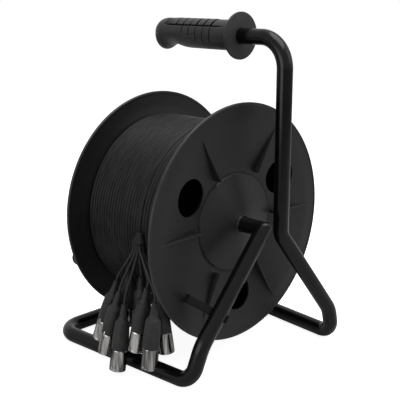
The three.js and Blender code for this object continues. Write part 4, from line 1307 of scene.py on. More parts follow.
@dataclass
class AxleFittings:
    """Bushes in the hubs, and the rings and the cap on the axle.

    A section is a row of (radius, along, rounding). A ring is its outer radius, its two ends
    and the rounding of its edges.
    """

    sides: int = 72
    bore: float = 10.9
    bush_section: tuple = (
        (10.45, 60, 0),
        (12.83, 60, 0.3),
        (12.83, 84.4, 0),
        (13.9, 84.4, 0.1),
        (11.4, 85.1, 1.2),
        (10.75, 86.9, 0.1),
        (10.45, 86.9, 0),
    )
    rings: tuple = (
        ("washer", "axle_washer", (17, -87.2, -89.2, 0.3)),
        ("retaining_ring", "axle_retaining_ring", (14, -89.5, -91.1, 0.3)),
        ("stop_collar", "axle_stop_collar", (14.5, -59.7, -53.7, 0.6)),
    )
    cap_section: tuple = (
        (10.9, -91.4, 0),
        (12.9, -91.4, 0.3),
        (12.9, -98.3, 2),
        (0.3, -98.3, 0),
        (0.3, -95.3, 0),
        (10.9, -95.3, 0),
    )
    cap_steps: int = 8

    def turned(self, section: Sequence[tuple], steps: int = 5) -> Shell:
        """A section with its corners rounded, turned about the axle."""
        return on_axle(revolve(rounded(section, steps), self.sides, True))

    def flat(self, outer: float, start: float, end: float, edge: float) -> Shell:
        """A plain ring on the axle, with a rectangular section and broken outer edges."""
        outside = [(outer, start, edge), (outer, end, edge)]
        return self.turned([(self.bore, start, 0), *outside, (self.bore, end, 0)])

    def bush(self, side: Side) -> Shell:
        """A collared bush, its collar on the flange's nose."""
        section = [(radius, side.value * along, edge) for radius, along, edge in self.bush_section]
        return self.turned(section)

    def build(self, shop: Workshop) -> None:
        """Makes the bushes, washer, retaining ring, stop collar and end cap.

        Args:
            shop: the workshop that finishes the pieces.
        """
        for side, word, finish in ((Side.NEAR, "near", "plastic"), (Side.FAR, "far", "nylon")):
            shop.piece(
                f"{word}_bush", self.bush(side), finish, Slot.NYLON, Body.DRUM, [f"{word}_hub_bush"]
            )
        for name, node, sizes in self.rings:
            shop.piece(name, self.flat(*sizes), "zinc", Slot.ZINC, Body.STAND, [node])
        cap = self.turned(self.cap_section, self.cap_steps)
        shop.piece("end_cap", cap, "small_plastic", Slot.PLASTIC, Body.STAND, ["axle_cap"])


@dataclass
class WoundCable:
    """The cable on the drum: inner layers, the outer layer and its end in a sleeve."""

    drum: Drum
    far_turns: int = 19
    near_turns: int = 8
    pitch: float = 5.15
    diameter: float = 5.08
    centre: float = 122.8
    step: float = 6.2
    step_start: float = math.radians(190)
    step_arc: float = math.radians(90)
    wander: float = 0.16
    wander_rates: tuple = (0.37, 1.91)
    wander_start: float = 1.1
    lift: tuple = (0.14, 0.1)
    lift_rates: tuple = (0.83, 2.23)
    lift_start: float = 0.4
    sleeve_diameter: float = 6.4
    sleeve_centre: float = 123.53
    sleeve_exit: float = math.radians(180)
    core_bore: float = 64.6
    core_radius: float = 118.6
    core_reach: float = 72.0
    core_steps: tuple = (0.55, 0.6)
    core_sides: int = 144
    core_gap: float = 1.4
    ridge: float = 0.9
    ridge_pitch: float = 5.3
    turn_steps: int = 96
    sides: int = 14

    def along(self, angle: Array) -> Array:
        """Place along the axle by angle.

        Args:
            angle: angles round the axle, which grow from turn to turn.

        Returns:
            First place + turns times pitch, and one wider step that rises smoothly.
        """
        first = -((self.far_turns + self.near_turns) * self.pitch + self.step) / 2
        start = (self.far_turns - 1) * FULL_TURN + self.step_start
        share = smooth(angle, start, start + self.step_arc)
        return first + angle / FULL_TURN * self.pitch + share * self.step

    def line(self, angle: Array, along: Array, radius: Array | float) -> Array:
        """Points about the axle: (along, radius cos angle, radius sin angle)."""
        return np.stack([along, radius * np.cos(angle), radius * np.sin(angle)], axis=-1)

    def wound(self, angle: Array, along: Array, radius: Array | float, thickness: float) -> Shell:
        """A tube that lies on the drum.

        Args:
            angle: angles round the axle, which grow from turn to turn.
            along: the place along the axle for each.
            radius: the centre line's distance from the axle, one or one for each.
            thickness: the tube's diameter.

        Returns:
            The tube. Its first cross direction points away from the axle at every station.
        """
        path = self.line(angle, along, radius)
        tangents = unit(np.gradient(path, axis=0))
        outward = self.line(angle, np.zeros_like(angle), 1.0)
        outward = unit(outward - tangents * np.einsum("ij,ij->i", outward, tangents)[:, None])
        frames = (tangents, outward, np.cross(tangents, outward))
        return on_axle(tube(path, thickness / 2, self.sides, frames))

    def winding(self) -> Shell:
        """The outer layer.

        Returns:
            The wound tube. Its turns wander sideways by a product of two sine waves of the
            angle and rise by a sum of two, each a few tenths of a millimetre high.
        """
        turns = self.far_turns + self.near_turns
        angle = np.linspace(0, turns * FULL_TURN, turns * self.turn_steps + 1)
        slow, fast = self.wander_rates
        wander = self.wander * np.sin(slow * angle + self.wander_start) * np.sin(fast * angle)
        slow, fast = self.lift_rates
        lift = self.lift[0] * np.sin(slow * angle + self.lift_start)
        lift = lift + self.lift[1] * np.sin(fast * angle)
        return self.wound(angle, self.along(angle) + wander, self.centre + lift, self.diameter)

    def sleeve(self) -> Shell:
        """The cable's end in its sleeve.

        Returns:
            A tube half way between two turns of the outer layer.
        """
        start = (self.far_turns - 1) * FULL_TURN + self.step_start + self.step_arc
        end = self.far_turns * FULL_TURN + self.sleeve_exit
        angle = np.linspace(start, end, round((end - start) / FULL_TURN * self.turn_steps))
        middle = (self.along(angle) + self.along(angle - FULL_TURN)) / 2
        return self.wound(angle, middle, self.sleeve_centre, self.sleeve_diameter)

    def ridges(self, place: Array, pitch: float) -> Array:
        """Rounded ridges like the turns inside: height |sin(pi place / pitch)|."""
        return self.ridge * np.abs(np.sin(np.pi * place / pitch))

    def core(self) -> Shell:
        """The inner layers.

        Returns:
            A turned ring whose outside and sides are ridged like the turns in it, and whose
            sides follow the plates' dish with a gap.
        """
        radial_step, along_step = self.core_steps
        radii = np.arange(self.core_bore, self.core_radius, radial_step)
        base = self.drum.face_at(radii) - (self.drum.plate + self.core_gap) - self.ridge
        half = base + self.ridges(radii - self.core_bore, self.ridge_pitch)
        along = np.arange(-self.core_reach, self.core_reach, along_step)
        crown = self.core_radius - self.ridge + self.ridges(along, self.pitch)
        near = np.stack([radii, half], axis=-1)
        over = np.stack([crown, along], axis=-1)[::-1]
        far = np.stack([radii, -half], axis=-1)[::-1]
        return on_axle(revolve(np.vstack([near, over, far]), self.core_sides, True))

    def build(self, shop: Workshop) -> None:
        """Makes the inner layers, the outer layer and the sleeve.

        Args:
            shop: the workshop that finishes the pieces.
        """
        for name, shell, finish, node in (
            # The inner layers take the near-black cable copy: painted shade.
            ("inner_layers", self.core(), "shaded_cable", "cable_core"),
            ("outer_layer", self.winding(), "cable", "cable_winding"),
            ("outer_sleeve", self.sleeve(), "cable", "cable_sleeve"),
        ):
            shop.piece(name, shell, finish, Slot.CABLE, Body.DRUM, [node])


@dataclass
class MetalShell:
    """A plug's nickel shell with its latch tab, its mouth at zero and its boot above it.

    Bands are (start, end) of a soft edge. The recesses are a keyway line, a drop at the
    line's upper end and a small round hole on each side.
    """

    radius: float = 10.4
    wall: float = 1.2
    length: float = 27.0
    bore_start: float = 0.3
    sides: int = 96
    lip_height: float = 0.8
    lip_draw: float = 0.45
    lip_steps: int = 6
    body: tuple = (1.2, 26.2)
    body_steps: int = 72
    back_start: float = 26.4
    back_steps: int = 4
    back_draw: float = 0.3
    ring_bands: tuple = ((2.0, 2.3), (2.7, 3.0))
    ring_depth: float = 0.35
    recess_depth: float = 0.55
    line_edge: tuple = (0.35, 0.8)
    line_bands: tuple = ((3.2, 4), (20, 21))
    drop_start: float = 19.0
    drop_length: float = 5.0
    drop_width: float = 1.7
    drop_band: tuple = (24.2, 25.4)
    drop_edge: tuple = (0.8, 1.15)
    drop_least: tuple = (0.05, 0.1)
    hole_height: float = 4.6
    hole_edge: tuple = (0.9, 1.3)
    tab_shares: tuple = (0.04, 0.35, 0.65, 0.88, 1.0, 0.9)
    tab_lift: float = 0.8
    tab_sink: float = 0.9
    tab_height: float = 1.2
    tab_reach: float = 3.6
    tab_width: float = 1.75
    tab_taper: float = 0.35
    tab_gap: float = 0.1
    tab_sides: int = 24

    def outline(self, z: Array) -> Array:
        """The radius by height without the recesses.

        Args:
            z: heights.

        Returns:
            The shell's radius, less a quarter round at the lip, a shallow ring and a soft
            draw at the back.
        """
        fall = np.clip(1 - ((self.lip_height - z) / self.lip_height) ** 2, 0, 1)
        radius = self.radius - self.lip_draw * (1 - np.sqrt(fall)) * (z < self.lip_height)
        ring = smooth(z, *self.ring_bands[0]) - smooth(z, *self.ring_bands[1])
        back = self.back_draw * smooth(z, self.body[1], self.length)
        return radius - back - self.ring_depth * ring

    def recesses(self, z: Array, angle: Array) -> Array:
        """How deep the recesses are, from 0 to 1.

        Args:
            z: heights, one in each row.
            angle: angles, one in each column.

        Returns:
            The largest of the keyway line, the drop, whose width grows as the root of the
            height in it, and the holes.
        """
        arc = self.radius * np.abs(angle)
        line = (1 - smooth(arc, *self.line_edge)) * smooth(z, *self.line_bands[0])
        line = line * (1 - smooth(z, *self.line_bands[1]))
        width = self.drop_width * np.sqrt(np.clip((z - self.drop_start) / self.drop_length, 0, 1))
        width = width * (1 - smooth(z, *self.drop_band))
        least, shown = self.drop_least
        drop = (1 - smooth(arc / np.maximum(width, least), *self.drop_edge)) * (width > shown)
        beside = self.radius * np.abs(np.abs(angle) - np.pi / 2)
        hole = 1 - smooth(np.hypot(beside, z - self.hole_height), *self.hole_edge)
        return np.maximum(np.maximum(line, drop), hole)

    def barrel(self) -> Shell:
        """The shell's wall.

        Returns:
            A closed ring: radius outline - depth times recesses outside, a plain bore inside.
        """
        lip = np.linspace(0, self.lip_height, self.lip_steps)
        back = np.linspace(self.back_start, self.length, self.back_steps)
        z = np.concatenate([lip, np.linspace(*self.body, self.body_steps), back])[:, None]
        angle = np.linspace(-np.pi, np.pi, self.sides, endpoint=False)[None, :]
        radius = self.outline(z) - self.recess_depth * self.recesses(z, angle)
        bore_z = np.array([[self.length], [self.bore_start]])
        inside = about_z(self.radius - self.wall, angle, bore_z)
        return close_grid(np.concatenate([about_z(radius, angle, z), inside]), wrap_rows=True)

    def tab(self) -> Shell:
        """The latch tab over the boot's edge.

        Returns:
            A dome on the shell's round: share u of a drop, height lift sqrt(1 - u^2), its last
            row sunk into the shell.
        """
        share = np.array(self.tab_shares)[:, None]
        lift = self.tab_lift * np.sqrt(1 - share**2)
        lift[-1] -= self.tab_sink
        turn = np.linspace(0, FULL_TURN, self.tab_sides, endpoint=False)[None, :]
        z = self.length + self.tab_height + self.tab_reach * share * np.sin(turn)
        width = self.tab_width * share * np.cos(turn) * (1 - self.tab_taper * np.sin(turn))
        return close_grid(about_z(self.radius + self.tab_gap + lift, width / self.radius, z))


@dataclass
class PlugFilling:
    """What belongs to a plug's shell: the insulator with its pins, and the boot behind it."""

    metal: MetalShell
    mouth_depth: float = 14.0
    block_sides: int = 48
    pin_count: int = 3
    pin_turn: float = 0.25
    pin_places: int = 4
    pin_circle: float = 5.0
    pin_section: tuple = ((0.15, 4, 0), (1.2, 4, 0.9), (1.2, 15, 0), (0.15, 15, 0))
    pin_steps: int = 7
    pin_sides: int = 20
    boot_length: float = 58.0
    boot_steps: int = 9
    boot_sides: int = 48
    least_radius: float = 0.3
    neck: tuple = (41, 56.5)
    neck_steps: int = 60
    groove_pitch: float = 3.1
    groove_depth: float = 0.35

    def insert(self) -> list[Shell]:
        """The insulator and its contact pins.

        Returns:
            The block with a broken edge first, then a round-tipped pin at each place.
        """
        radius = self.metal.radius - self.metal.wall - FIT_GAP
        front, back = self.mouth_depth, self.metal.length - FIT_GAP
        inner = self.least_radius
        block = rounded([(inner, front, 0), (radius, front, 0.7), (radius, back, 0), (inner, back, 0)])
        shells = [upright(revolve(block, self.block_sides, True))]
        pin = upright(revolve(rounded(self.pin_section, self.pin_steps), self.pin_sides, True))
        for i in range(self.pin_count):
            angle = (i + self.pin_turn) / self.pin_places * FULL_TURN
            x, y = self.pin_circle * math.cos(angle), self.pin_circle * math.sin(angle)
            shells.append(pin.shifted(x, y, 0))
        return shells

    def boot(self) -> Shell:
        """The boot: a round body, soft shoulders and a long neck with flex grooves.

        Returns:
            The turned outline, less depth (1/2 - 1/2 cos(2 pi height / pitch))^2 on the neck.
        """
        start, radius = self.metal.length + FIT_GAP, self.metal.radius
        end, inner = start + self.boot_length, self.least_radius
        outline = rounded(
            [
                (inner, start, 0),
                (radius, start, 0.6),
                (radius + 0.05, start + 17, 6),
                (radius - 1.4, start + 35.5, 2.2),
                (5.5, start + 39.6, 2),
                (4.7, start + 46, 4),
                (3.6, end - 0.4, 0.8),
                (2.0, end, 0.3),
                (inner, end, 0),
            ],
            steps=self.boot_steps,
        )
        side = outline[1:-2]
        side = side[np.argsort(side[:, 1], kind="stable")]
        first, last = (start + place for place in self.neck)
        height = np.linspace(first, last, self.neck_steps)
        wave = 0.5 - 0.5 * np.cos(FULL_TURN * (height - first) / self.groove_pitch)
        neck = np.interp(height, side[:, 1], side[:, 0]) - self.groove_depth * wave**2
        before, after = outline[outline[:, 1] < first], outline[outline[:, 1] > last]
        made = np.vstack([before, np.stack([neck, height], axis=-1), after])
        return upright(revolve(made, self.boot_sides, True))


@dataclass
class Plug:
    """One plug: its mouth, its boot's tip, its whip's place in the breakout and its keyway."""

    number: int
    mouth: tuple
    tip: tuple
    column: int
    layer: int
    keyway: float

    def matrix(self) -> Array:
        """The plug's place.

        Returns:
            A 4 x 4 matrix that turns z onto the plug's axis and moves zero to its mouth.
        """
        axis = Vector(self.tip) - Vector(self.mouth)
        turn = Vector((0, 0, 1)).rotation_difference(axis.normalized()).to_matrix().to_4x4()
        return np.array(Matrix.Translation(self.mouth) @ turn)


@dataclass
class PlugTails:
    """The breakout, the eight whips and the eight plugs."""

    metal: MetalShell
    filling: PlugFilling
    swept_radius: float = 127.03
    breakout_height: float = 173.0
    breakout_length: float = 13.0
    breakout_offset: float = 33.0
    breakout_width: float = 16.2
    breakout_depth: float = 8.2
    breakout_steps: tuple = (25, 64)
    end_draw: float = 0.1
    end_power: int = 6
    narrowing: float = 0.45
    narrowing_start: float = 0.1
    corner_power: int = 4
    middle_column: float = 1.5
    whip_diameter: float = 3.6
    whip_gap: float = 0.4
    whip_sides: int = 20
    run_in: float = 42.0
    run_in_steps: int = 12
    plugs: tuple = (
        Plug(1, (-37, -141, 30), (-16, -127, 112), 0, 1, -1.5),
        Plug(2, (-14, -152, 21), (-1, -136, 101), 1, 1, -1.42),
        Plug(3, (15, -155, 8), (15, -141, 90), 2, 1, 3.23),
        Plug(4, (36, -142, 38), (49, -132, 120), 2, 0, 2.4),
        Plug(5, (67, -147, 26), (71, -139, 110), 3, 1, 3.3),
        Plug(6, (66, -117, 37), (56, -122, 119), 3, 0, 2.6),
        Plug(7, (20, -118, 44), (29, -124, 126), 1, 0, 1.9),
        Plug(8, (-9, -116, 52), (4, -123, 134), 0, 0, 2.2),
    )

    def whip_line(self, plug: Plug) -> Array:
        """The whip's path: straight down out of the breakout, then through the boot's neck.

        Args:
            plug: the plug it leads to.

        Returns:
            Points of a centripetal Catmull-Rom curve through six chosen points, and a
            straight run on the boot's axis.
        """
        spacing = self.whip_diameter + self.whip_gap
        x = self.breakout_offset + (plug.column - self.middle_column) * spacing
        y = -(self.swept_radius + self.whip_gap + self.whip_diameter / 2 + plug.layer * spacing)
        matrix = plug.matrix()
        reach = self.metal.length + self.filling.boot_length + 2 * FIT_GAP
        end = matrix[:3, :3] @ [0, 0, reach] + matrix[:3, 3]
        axis = matrix[:3, 2]
        start = np.array([x, y, self.breakout_height])
        down = np.array([0, 0, -self.whip_diameter])
        lead = axis * self.whip_diameter
        free = through([start, start + down, start + 2 * down, end + 2 * lead, end + lead, end])
        inside = end - axis * np.linspace(0, self.run_in, self.run_in_steps)[1:, None]
        return np.vstack([free, inside])

    def breakout(self) -> Shell:
        """The moulded block where the sleeve divides.

        Returns:
            A loft of rounded rectangles, |x/a|^4 + |y/b|^4 = 1, which narrows upwards and whose
            ends draw in a little.
        """
        rows, columns = self.breakout_steps
        share = np.linspace(0, 1, rows)[:, None]
        angle = np.linspace(0, FULL_TURN, columns, endpoint=False)[None, :]
        full = np.clip(1 - np.abs(2 * share - 1) ** self.end_power, 0, 1)
        swell = (1 - self.end_draw) + self.end_draw * full
        swell = swell * (1 - self.narrowing * smooth(share, self.narrowing_start, 1))
        c, s = np.cos(angle), np.sin(angle)
        power = self.corner_power
        reach = (np.abs(c) ** power + np.abs(s) ** power) ** (-1 / power)
        half_width = self.breakout_width / 2 * swell
        half_depth = self.breakout_depth / 2 * swell
        x = self.breakout_offset + half_width * reach * c
        y = -(self.swept_radius + half_depth) + half_depth * reach * s
        z = self.breakout_height + FIT_GAP + share * self.breakout_length
        return close_grid(np.stack([x, y, np.broadcast_to(z, x.shape)], axis=-1))

    def whip_and_plug(self, shop: Workshop, plug: Plug) -> None:
        """Args:
            shop: the workshop that finishes the pieces.
            plug: the plug.
        """
        n, matrix, stand = plug.number, plug.matrix(), Body.STAND
        boot = shop.piece(
            f"boot_{n}", self.filling.boot().moved(matrix), "boot", Slot.BOOT, stand,
            [f"plug_boot_{n}"],
        )
        turn = rotation_z(plug.keyway)
        metal = shop.piece(
            f"shell_{n}",
            [part.moved(turn).moved(matrix) for part in (self.metal.barrel(), self.metal.tab())],
            "nickel", Slot.NICKEL, stand, [f"plug_shell_{n}"], sharp=SOFTER_SHARP_ANGLE,
        )
        parts = [part.moved(matrix) for part in self.filling.insert()]
        block = shop.piece(
            f"insert_{n}", parts, "insert", Slot.INSERT, stand, [f"plug_insert_{n}"]
        )
        faces = np.arange(len(block.data.polygons))
        shop.second_finish(block, "nickel", faces >= len(parts[0].faces()))
        path = self.whip_line(plug)
        cable = tube(path, self.whip_diameter / 2, self.whip_sides)
        whip = shop.piece(f"whip_lead_{n}", cable, "whip", Slot.CABLE, stand, [f"whip_{n}"])

    def build(self, shop: Workshop) -> None:
        """Makes the breakout, and each plug with its whip.

        Args:
            shop: the workshop that finishes the pieces.
        """
        block = self.breakout()
        shop.piece("cable_divider", block, "cable", Slot.BOOT, Body.STAND, ["cable_breakout"])
        for plug in self.plugs:
            self.whip_and_plug(shop, plug)


@dataclass
class WindingKnob:
    """The knob on the far flange, its spindle and its cap, drawn from the flange outwards."""

    drum: Drum
    start: float = -87.9
    length: float = 47.0
    radius: float = 13.0
    neck: float = 10.5
    bore: float = 4.6
    recess: float = 5.3
    recess_radius: float = 7.3
    flute_count: int = 16
    flute_share: float = 0.035
    flute_start: tuple = (14, 20)
    flute_end: tuple = (8, 4)
    flute_least_radius: float = 9.0
    spindle_root: float = -77.9
    spindle_radius: float = 4.1
    screw_radius: float = 3.0
    head_radius: float = 7.0
    head_height: float = 3.0
    cap_radius: float = 6.9
    least_radius: float = 0.2
    small_sides: int = 48
    sides: int = 96

    def placed(self, section: Sequence[tuple]) -> Shell:
        """Turns a section with its corners rounded and moves it to its place on the flange."""
        return self.drum.at_knob(revolve(rounded(section), self.small_sides, True))

    def knob(self) -> Shell:
        """The fluted knob.

        Returns:
            The turned outline, its radius times 1 - share (1/2 + 1/2 cos(flutes angle))^2
            along the part that is held.
        """
        start, end, bore = self.start, self.start - self.length, self.bore
        floor, recess = end + self.recess, self.recess_radius
        outside = rounded(
            [
                (bore, start, 0),
                (self.neck, start, 0.8),
                (self.neck, start - self.length / 4, 6),
                (self.radius, start - self.length / 2, 7),
                (self.radius, end, 4),
                (recess + 0.1, end, 0.3),
                (recess, floor, 0),
                (bore, floor, 0),
            ],
            steps=9,
        )
        shell = revolve(outside, self.sides, True)
        x, y, z = shell.points.T
        begin, full = self.flute_start
        ebb, gone = self.flute_end
        held = smooth(-x, -start + begin, -start + full) * (1 - smooth(-x, -end - ebb, -end - gone))
        held = held * (np.hypot(y, z) > self.flute_least_radius)
        wave = 0.5 + 0.5 * np.cos(self.flute_count * np.arctan2(z, y))
        flute = 1 - self.flute_share * held * wave**2
        return Shell(np.stack([x, y * flute, z * flute], axis=-1), shell.quads, shell.triangles)

    def build(self, shop: Workshop) -> None:
        """Makes the fluted knob, the spindle and the cap.

        Args:
            shop: the workshop that finishes the pieces.
        """
        knob = self.drum.at_knob(self.knob())
        shop.piece("crank_knob", knob, "small_plastic", Slot.PLASTIC, Body.KNOB, ["knob"])
        end, inner = self.start - self.length, self.least_radius
        seat = end + self.recess - FIT_GAP
        top = seat - self.head_height
        screw, body, head = self.screw_radius, self.spindle_radius, self.head_radius
        spindle = self.placed(
            [
                (inner, self.spindle_root, 0),
                (screw, self.spindle_root, 0.3),
                (screw, self.start, 0),
                (body, self.start, 0.2),
                (body, seat, 0),
                (head, seat, 0.3),
                (head, top, 0.4),
                (inner, top, 0),
            ]
        )
        shop.piece("crank_spindle", spindle, "zinc", Slot.ZINC, Body.DRUM, ["knob_spindle"])
        under, rim = top - FIT_GAP, self.cap_radius
        cap = self.placed([(inner, under, 0), (rim, under, 0.2), (rim, end, 0.6), (inner, end, 0)])
        shop.piece("crank_cap", cap, "small_plastic", Slot.PLASTIC, Body.KNOB, ["knob_cap"])


@dataclass
class DrumBrake:
    """The clip lever on the front leg and its pad."""

    stand: Stand
    drum: Drum
    height: float = 88.0
    width: float = 10.0
    bore: float = 10.5
    wall: float = 3.0
    mouth: float = math.radians(150)
    arm: float = 5.5
    reach: float = 28.0
    pad: float = 3.0
    pad_length: float = 13.0
    foot: float = 4.0
    rub_gap: float = 2.2
    lever_bevel: float = 0.8
    pad_bevel: float = 0.5
    bevel_steps: int = 3
    arc_steps: int = 40

    def matrix(self) -> Array:
        """The brake's place on the front leg.

        Returns:
            A 4 x 4 matrix: origin on the leg, x towards the flange and z up along the leg.
        """
        top, knee = (np.array(corner, dtype=float) for corner in self.stand.corners[1:3])
        share = (top[2] - self.height) / (top[2] - knee[2])
        up = unit(top - knee)
        towards = np.array([-1.0, 0, 0])
        towards = unit(towards - up * (towards @ up))
        matrix = np.eye(4)
        matrix[:3, 0], matrix[:3, 1], matrix[:3, 2] = towards, np.cross(up, towards), up
        matrix[:3, 3] = top + (knee - top) * share
        return matrix

    def pad_face(self) -> float:
        """How far from the leg's middle the pad's face lies."""
        return self.matrix()[0, 3] - self.drum.face - self.rub_gap

    @staticmethod
    def arc(radius: float, start: float, end: float, count: int) -> Array:
        """Points on a circle from one angle to another: radius (cos a, sin a)."""
        a = np.linspace(start, end, count)
        return np.stack([radius * np.cos(a), radius * np.sin(a)], axis=-1)

    def outline(self) -> Array:
        """The lever's outline in its own frame.

        Returns:
            Corners (x, y): an open ring, an arm and a foot that carries the pad.
        """
        outer = self.bore + self.wall
        back = self.pad_face() - self.pad - FIT_GAP
        front = back - self.foot
        lean = math.atan2(self.reach, front)
        spread = math.asin(self.arm / 2 / outer)
        near_end = lean + spread
        far_end = near_end + self.mouth - FULL_TURN
        half, pad = self.arm / 2, self.pad_length / 2
        ring = [
            self.arc(outer, near_end, near_end, 1),
            self.arc(self.bore, near_end, far_end, self.arc_steps),
            self.arc(outer, far_end, lean - spread, self.arc_steps),
        ]
        foot = [
            (front, self.reach - 2 * half),
            (front, self.reach - pad),
            (back, self.reach - pad),
            (back, self.reach + pad),
            (front, self.reach + pad),
            (front - half, self.reach + half),
        ]
        return np.vstack([*ring, foot])

    def prism(self, name: str, outline: Array, bevel: float) -> bpy.types.Object:
        """A plate of an outline, its edges broken by a bevel that is kept in the mesh.

        Args:
            name: the piece's name.
            outline: its corners in the lever's frame.
            bevel: the width of the broken edges.

        Returns:
            The linked object.
        """
        count = len(outline)
        levels = (-self.width / 2, self.width / 2)
        points = np.vstack([np.column_stack([outline, np.full(count, z)]) for z in levels])
        ring = np.arange(count)
        following = (ring + 1) % count
        sides = np.stack([ring, following, following + count, ring + count], axis=-1)
        faces = sides.tolist() + [ring[::-1].tolist(), (ring + count).tolist()]
        matrix = self.matrix()
        placed = points @ matrix[:3, :3].T + matrix[:3, 3]
        plain = linked("plain", mesh_of("plain", in_row(placed), faces))
        modifier = plain.modifiers.new("edges", "BEVEL")
        modifier.width, modifier.segments = bevel * MILLIMETRE, self.bevel_steps
        modifier.limit_method = "ANGLE"
        modifier.angle_limit = math.radians(SOFTER_SHARP_ANGLE)
        made = baked(plain)
        bpy.data.objects.remove(plain)
        made.name = name
        return linked(name, made)

    def build(self, shop: Workshop) -> None:
        """Makes the lever and the pad.

        Args:
            shop: the workshop that finishes the pieces.
        """
        x1 = self.pad_face()
        x0 = x1 - self.pad
        y0, y1 = self.reach - self.pad_length / 2, self.reach + self.pad_length / 2
        square = np.array([(x0, y0), (x1, y0), (x1, y1), (x0, y1)])
        for name, outline, bevel, slot, node in (
            ("brake_clip", self.outline(), self.lever_bevel, Slot.PLASTIC, "brake_lever"),
            ("brake_block", square, self.pad_bevel, Slot.GRIP, "brake_pad"),
        ):
            obj = self.prism(name, outline, bevel)
            shop.dress(obj, "small_plastic", slot, Body.BRAKE, [node], sharp=SOFTER_SHARP_ANGLE)


@dataclass(frozen=True)
class Lamp:
    """A rectangular soft lamp: place, aim and size in metres, and its power in watts.

    One that isn't diffuse shows in gloss only.
    """

    name: str
    place: tuple
    aim: tuple
    size: tuple
    power: float
    diffuse: bool = True

    def build(self) -> None:
        """Adds the lamp, hidden from the camera and turned towards its aim."""
        data = bpy.data.lights.new(self.name, "AREA")
        data.shape, data.energy = "RECTANGLE", self.power
        data.size, data.size_y = self.size
        obj = linked(self.name, data)
        obj.visible_diffuse, obj.visible_camera = self.diffuse, False
        obj.location = self.place
        aim = Vector(self.aim) - Vector(self.place)
        obj.rotation_euler = aim.to_track_quat("-Z", "Y").to_euler()


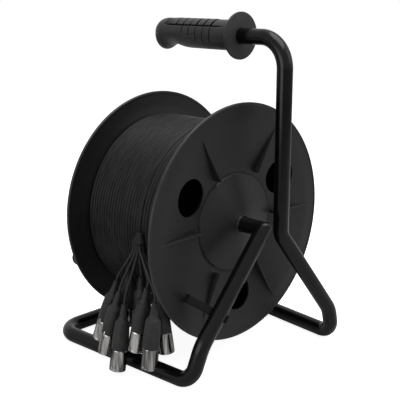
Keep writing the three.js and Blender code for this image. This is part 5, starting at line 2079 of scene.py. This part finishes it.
@dataclass
class Studio:
    """The camera of the photograph, a white floor and backdrop, and soft lamps."""

    target: tuple = (-20.27, 26.69, 188.71)
    azimuth: float = math.radians(45.51)
    elevation: float = math.radians(15.02)
    roll: float = math.radians(-0.13)
    distance: float = 1.10237
    lens: float = 71.34
    sensor: float = 36.0
    clip: tuple = (0.05, 30.0)
    ambient: float = 0.14
    floor_reach: float = 6.0
    floor_glow: float = 0.92
    gloss_glow: float = 0.1
    floor_level: float = 0.8
    white: tuple = (1.0, 1.0, 1.0, 1.0)
    lamps: tuple = (
        Lamp("overhead", (0.35, 0.1, 1.65), (0, 0, 0.15), (1.2, 1.2), 29),
        Lamp("front_left", (0.05, -1.15, 0.4), (0, 0, 0.2), (0.8, 0.6), 6, diffuse=False),
        Lamp("right", (1.3, 0.9, 1.1), (0, 0, 0.2), (0.8, 1.0), 6),
    )

    def camera(self) -> None:
        """Places the camera: target + back distance, rolled about its own axis."""
        a, e = self.azimuth, self.elevation
        back = Vector((math.sin(a) * math.cos(e), -math.cos(a) * math.cos(e), math.sin(e)))
        right = Vector((math.cos(a), math.sin(a), 0))
        up = back.cross(right)
        c, s = math.cos(self.roll), math.sin(self.roll)
        right, up = c * right + s * up, c * up - s * right
        turn = Matrix((right, up, back)).transposed().to_4x4()
        data = bpy.data.cameras.new("camera")
        data.lens, data.sensor_width = self.lens, self.sensor
        data.clip_start, data.clip_end = self.clip
        target = Vector(in_row(np.array(self.target)).tolist())
        obj = linked("camera", data)
        obj.matrix_world = Matrix.Translation(target + back * self.distance) @ turn
        bpy.context.scene.camera = obj

    def seen(self, board: NodeBoard) -> Socket:
        """Tells which rays see the white surroundings.

        Args:
            board: the nodes it is added to.

        Returns:
            1 for rays from the camera, from gloss and through glass; 0 for the rest.
        """
        rays = board.add("LightPath").outputs
        both = board.math("MAXIMUM", rays["Is Camera Ray"], rays["Is Glossy Ray"])
        return board.math("MAXIMUM", both, rays["Is Transmission Ray"])

    def world(self) -> None:
        """Gives the surroundings a soft light, and white where the camera and gloss see them."""
        world = bpy.data.worlds.new("surroundings")
        bpy.context.scene.world = world
        world.use_nodes = True
        nodes = world.node_tree.nodes
        board = NodeBoard(world.node_tree)
        board.feed(nodes["Background"], {"Color": self.white, "Strength": self.ambient})
        white = board.add("Background", {"Color": self.white, "Strength": 1.0})
        ambient = nodes["Background"].outputs["Background"]
        mixed = board.mix_shaders(self.seen(board), ambient, white.outputs["Background"])
        board.feed(nodes["World Output"], {"Surface": mixed})

    def floor(self) -> None:
        """Lays the pale floor, which glows white towards the camera and a little in gloss."""
        reach = self.floor_reach
        corners = [(-reach, -reach, 0), (reach, -reach, 0), (reach, reach, 0), (-reach, reach, 0)]
        obj = linked("floor", mesh_of("floor", np.array(corners), [(0, 1, 2, 3)]))
        material = bpy.data.materials.new("pale_floor")
        material.use_nodes = True
        nodes = material.node_tree.nodes
        nodes.remove(nodes["Principled BSDF"])
        board = NodeBoard(material.node_tree)
        pale = board.add("BsdfDiffuse", {"Color": (*grey(self.floor_level), 1)}).outputs["BSDF"]
        camera_ray = board.add("LightPath").outputs["Is Camera Ray"]
        glows = {"To Min": self.gloss_glow, "To Max": self.floor_glow, "Value": camera_ray}
        glow = board.add("Emission", {"Strength": board.map_range(glows)}).outputs["Emission"]
        bright = board.add("AddShader", {0: pale, 1: glow}).outputs["Shader"]
        mixed = board.mix_shaders(self.seen(board), pale, bright)
        board.feed(nodes["Material Output"], {"Surface": mixed})
        obj.data.materials.append(material)

    def build(self) -> None:
        """Sets up the floor, surroundings and lamps."""
        self.floor()
        self.world()
        for lamp in self.lamps:
            lamp.build()
        bpy.context.scene.view_settings.view_transform = "Standard"


def main() -> None:
    """Builds the reel in order."""
    logging.basicConfig(level=logging.INFO, format="%(message)s")
    for obj in list(bpy.data.objects):
        bpy.data.objects.remove(obj)
    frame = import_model()
    studio = Studio()
    studio.camera()
    shop = Workshop(Palette())
    stand, drum, metal = Stand(), Drum(), MetalShell()
    PlugTails(metal, PlugFilling(metal)).build(shop)
    stand.build(shop)
    HandGrip().build(shop)
    drum.build(shop)
    shop.carried_over(frame["nodes"]["drum_barrel"], "plastic")
    AxleFittings().build(shop)
    WoundCable(drum).build(shop)
    WindingKnob(drum).build(shop)
    DrumBrake(stand, drum).build(shop)
    studio.build()


if __name__ == "__main__":
    main()
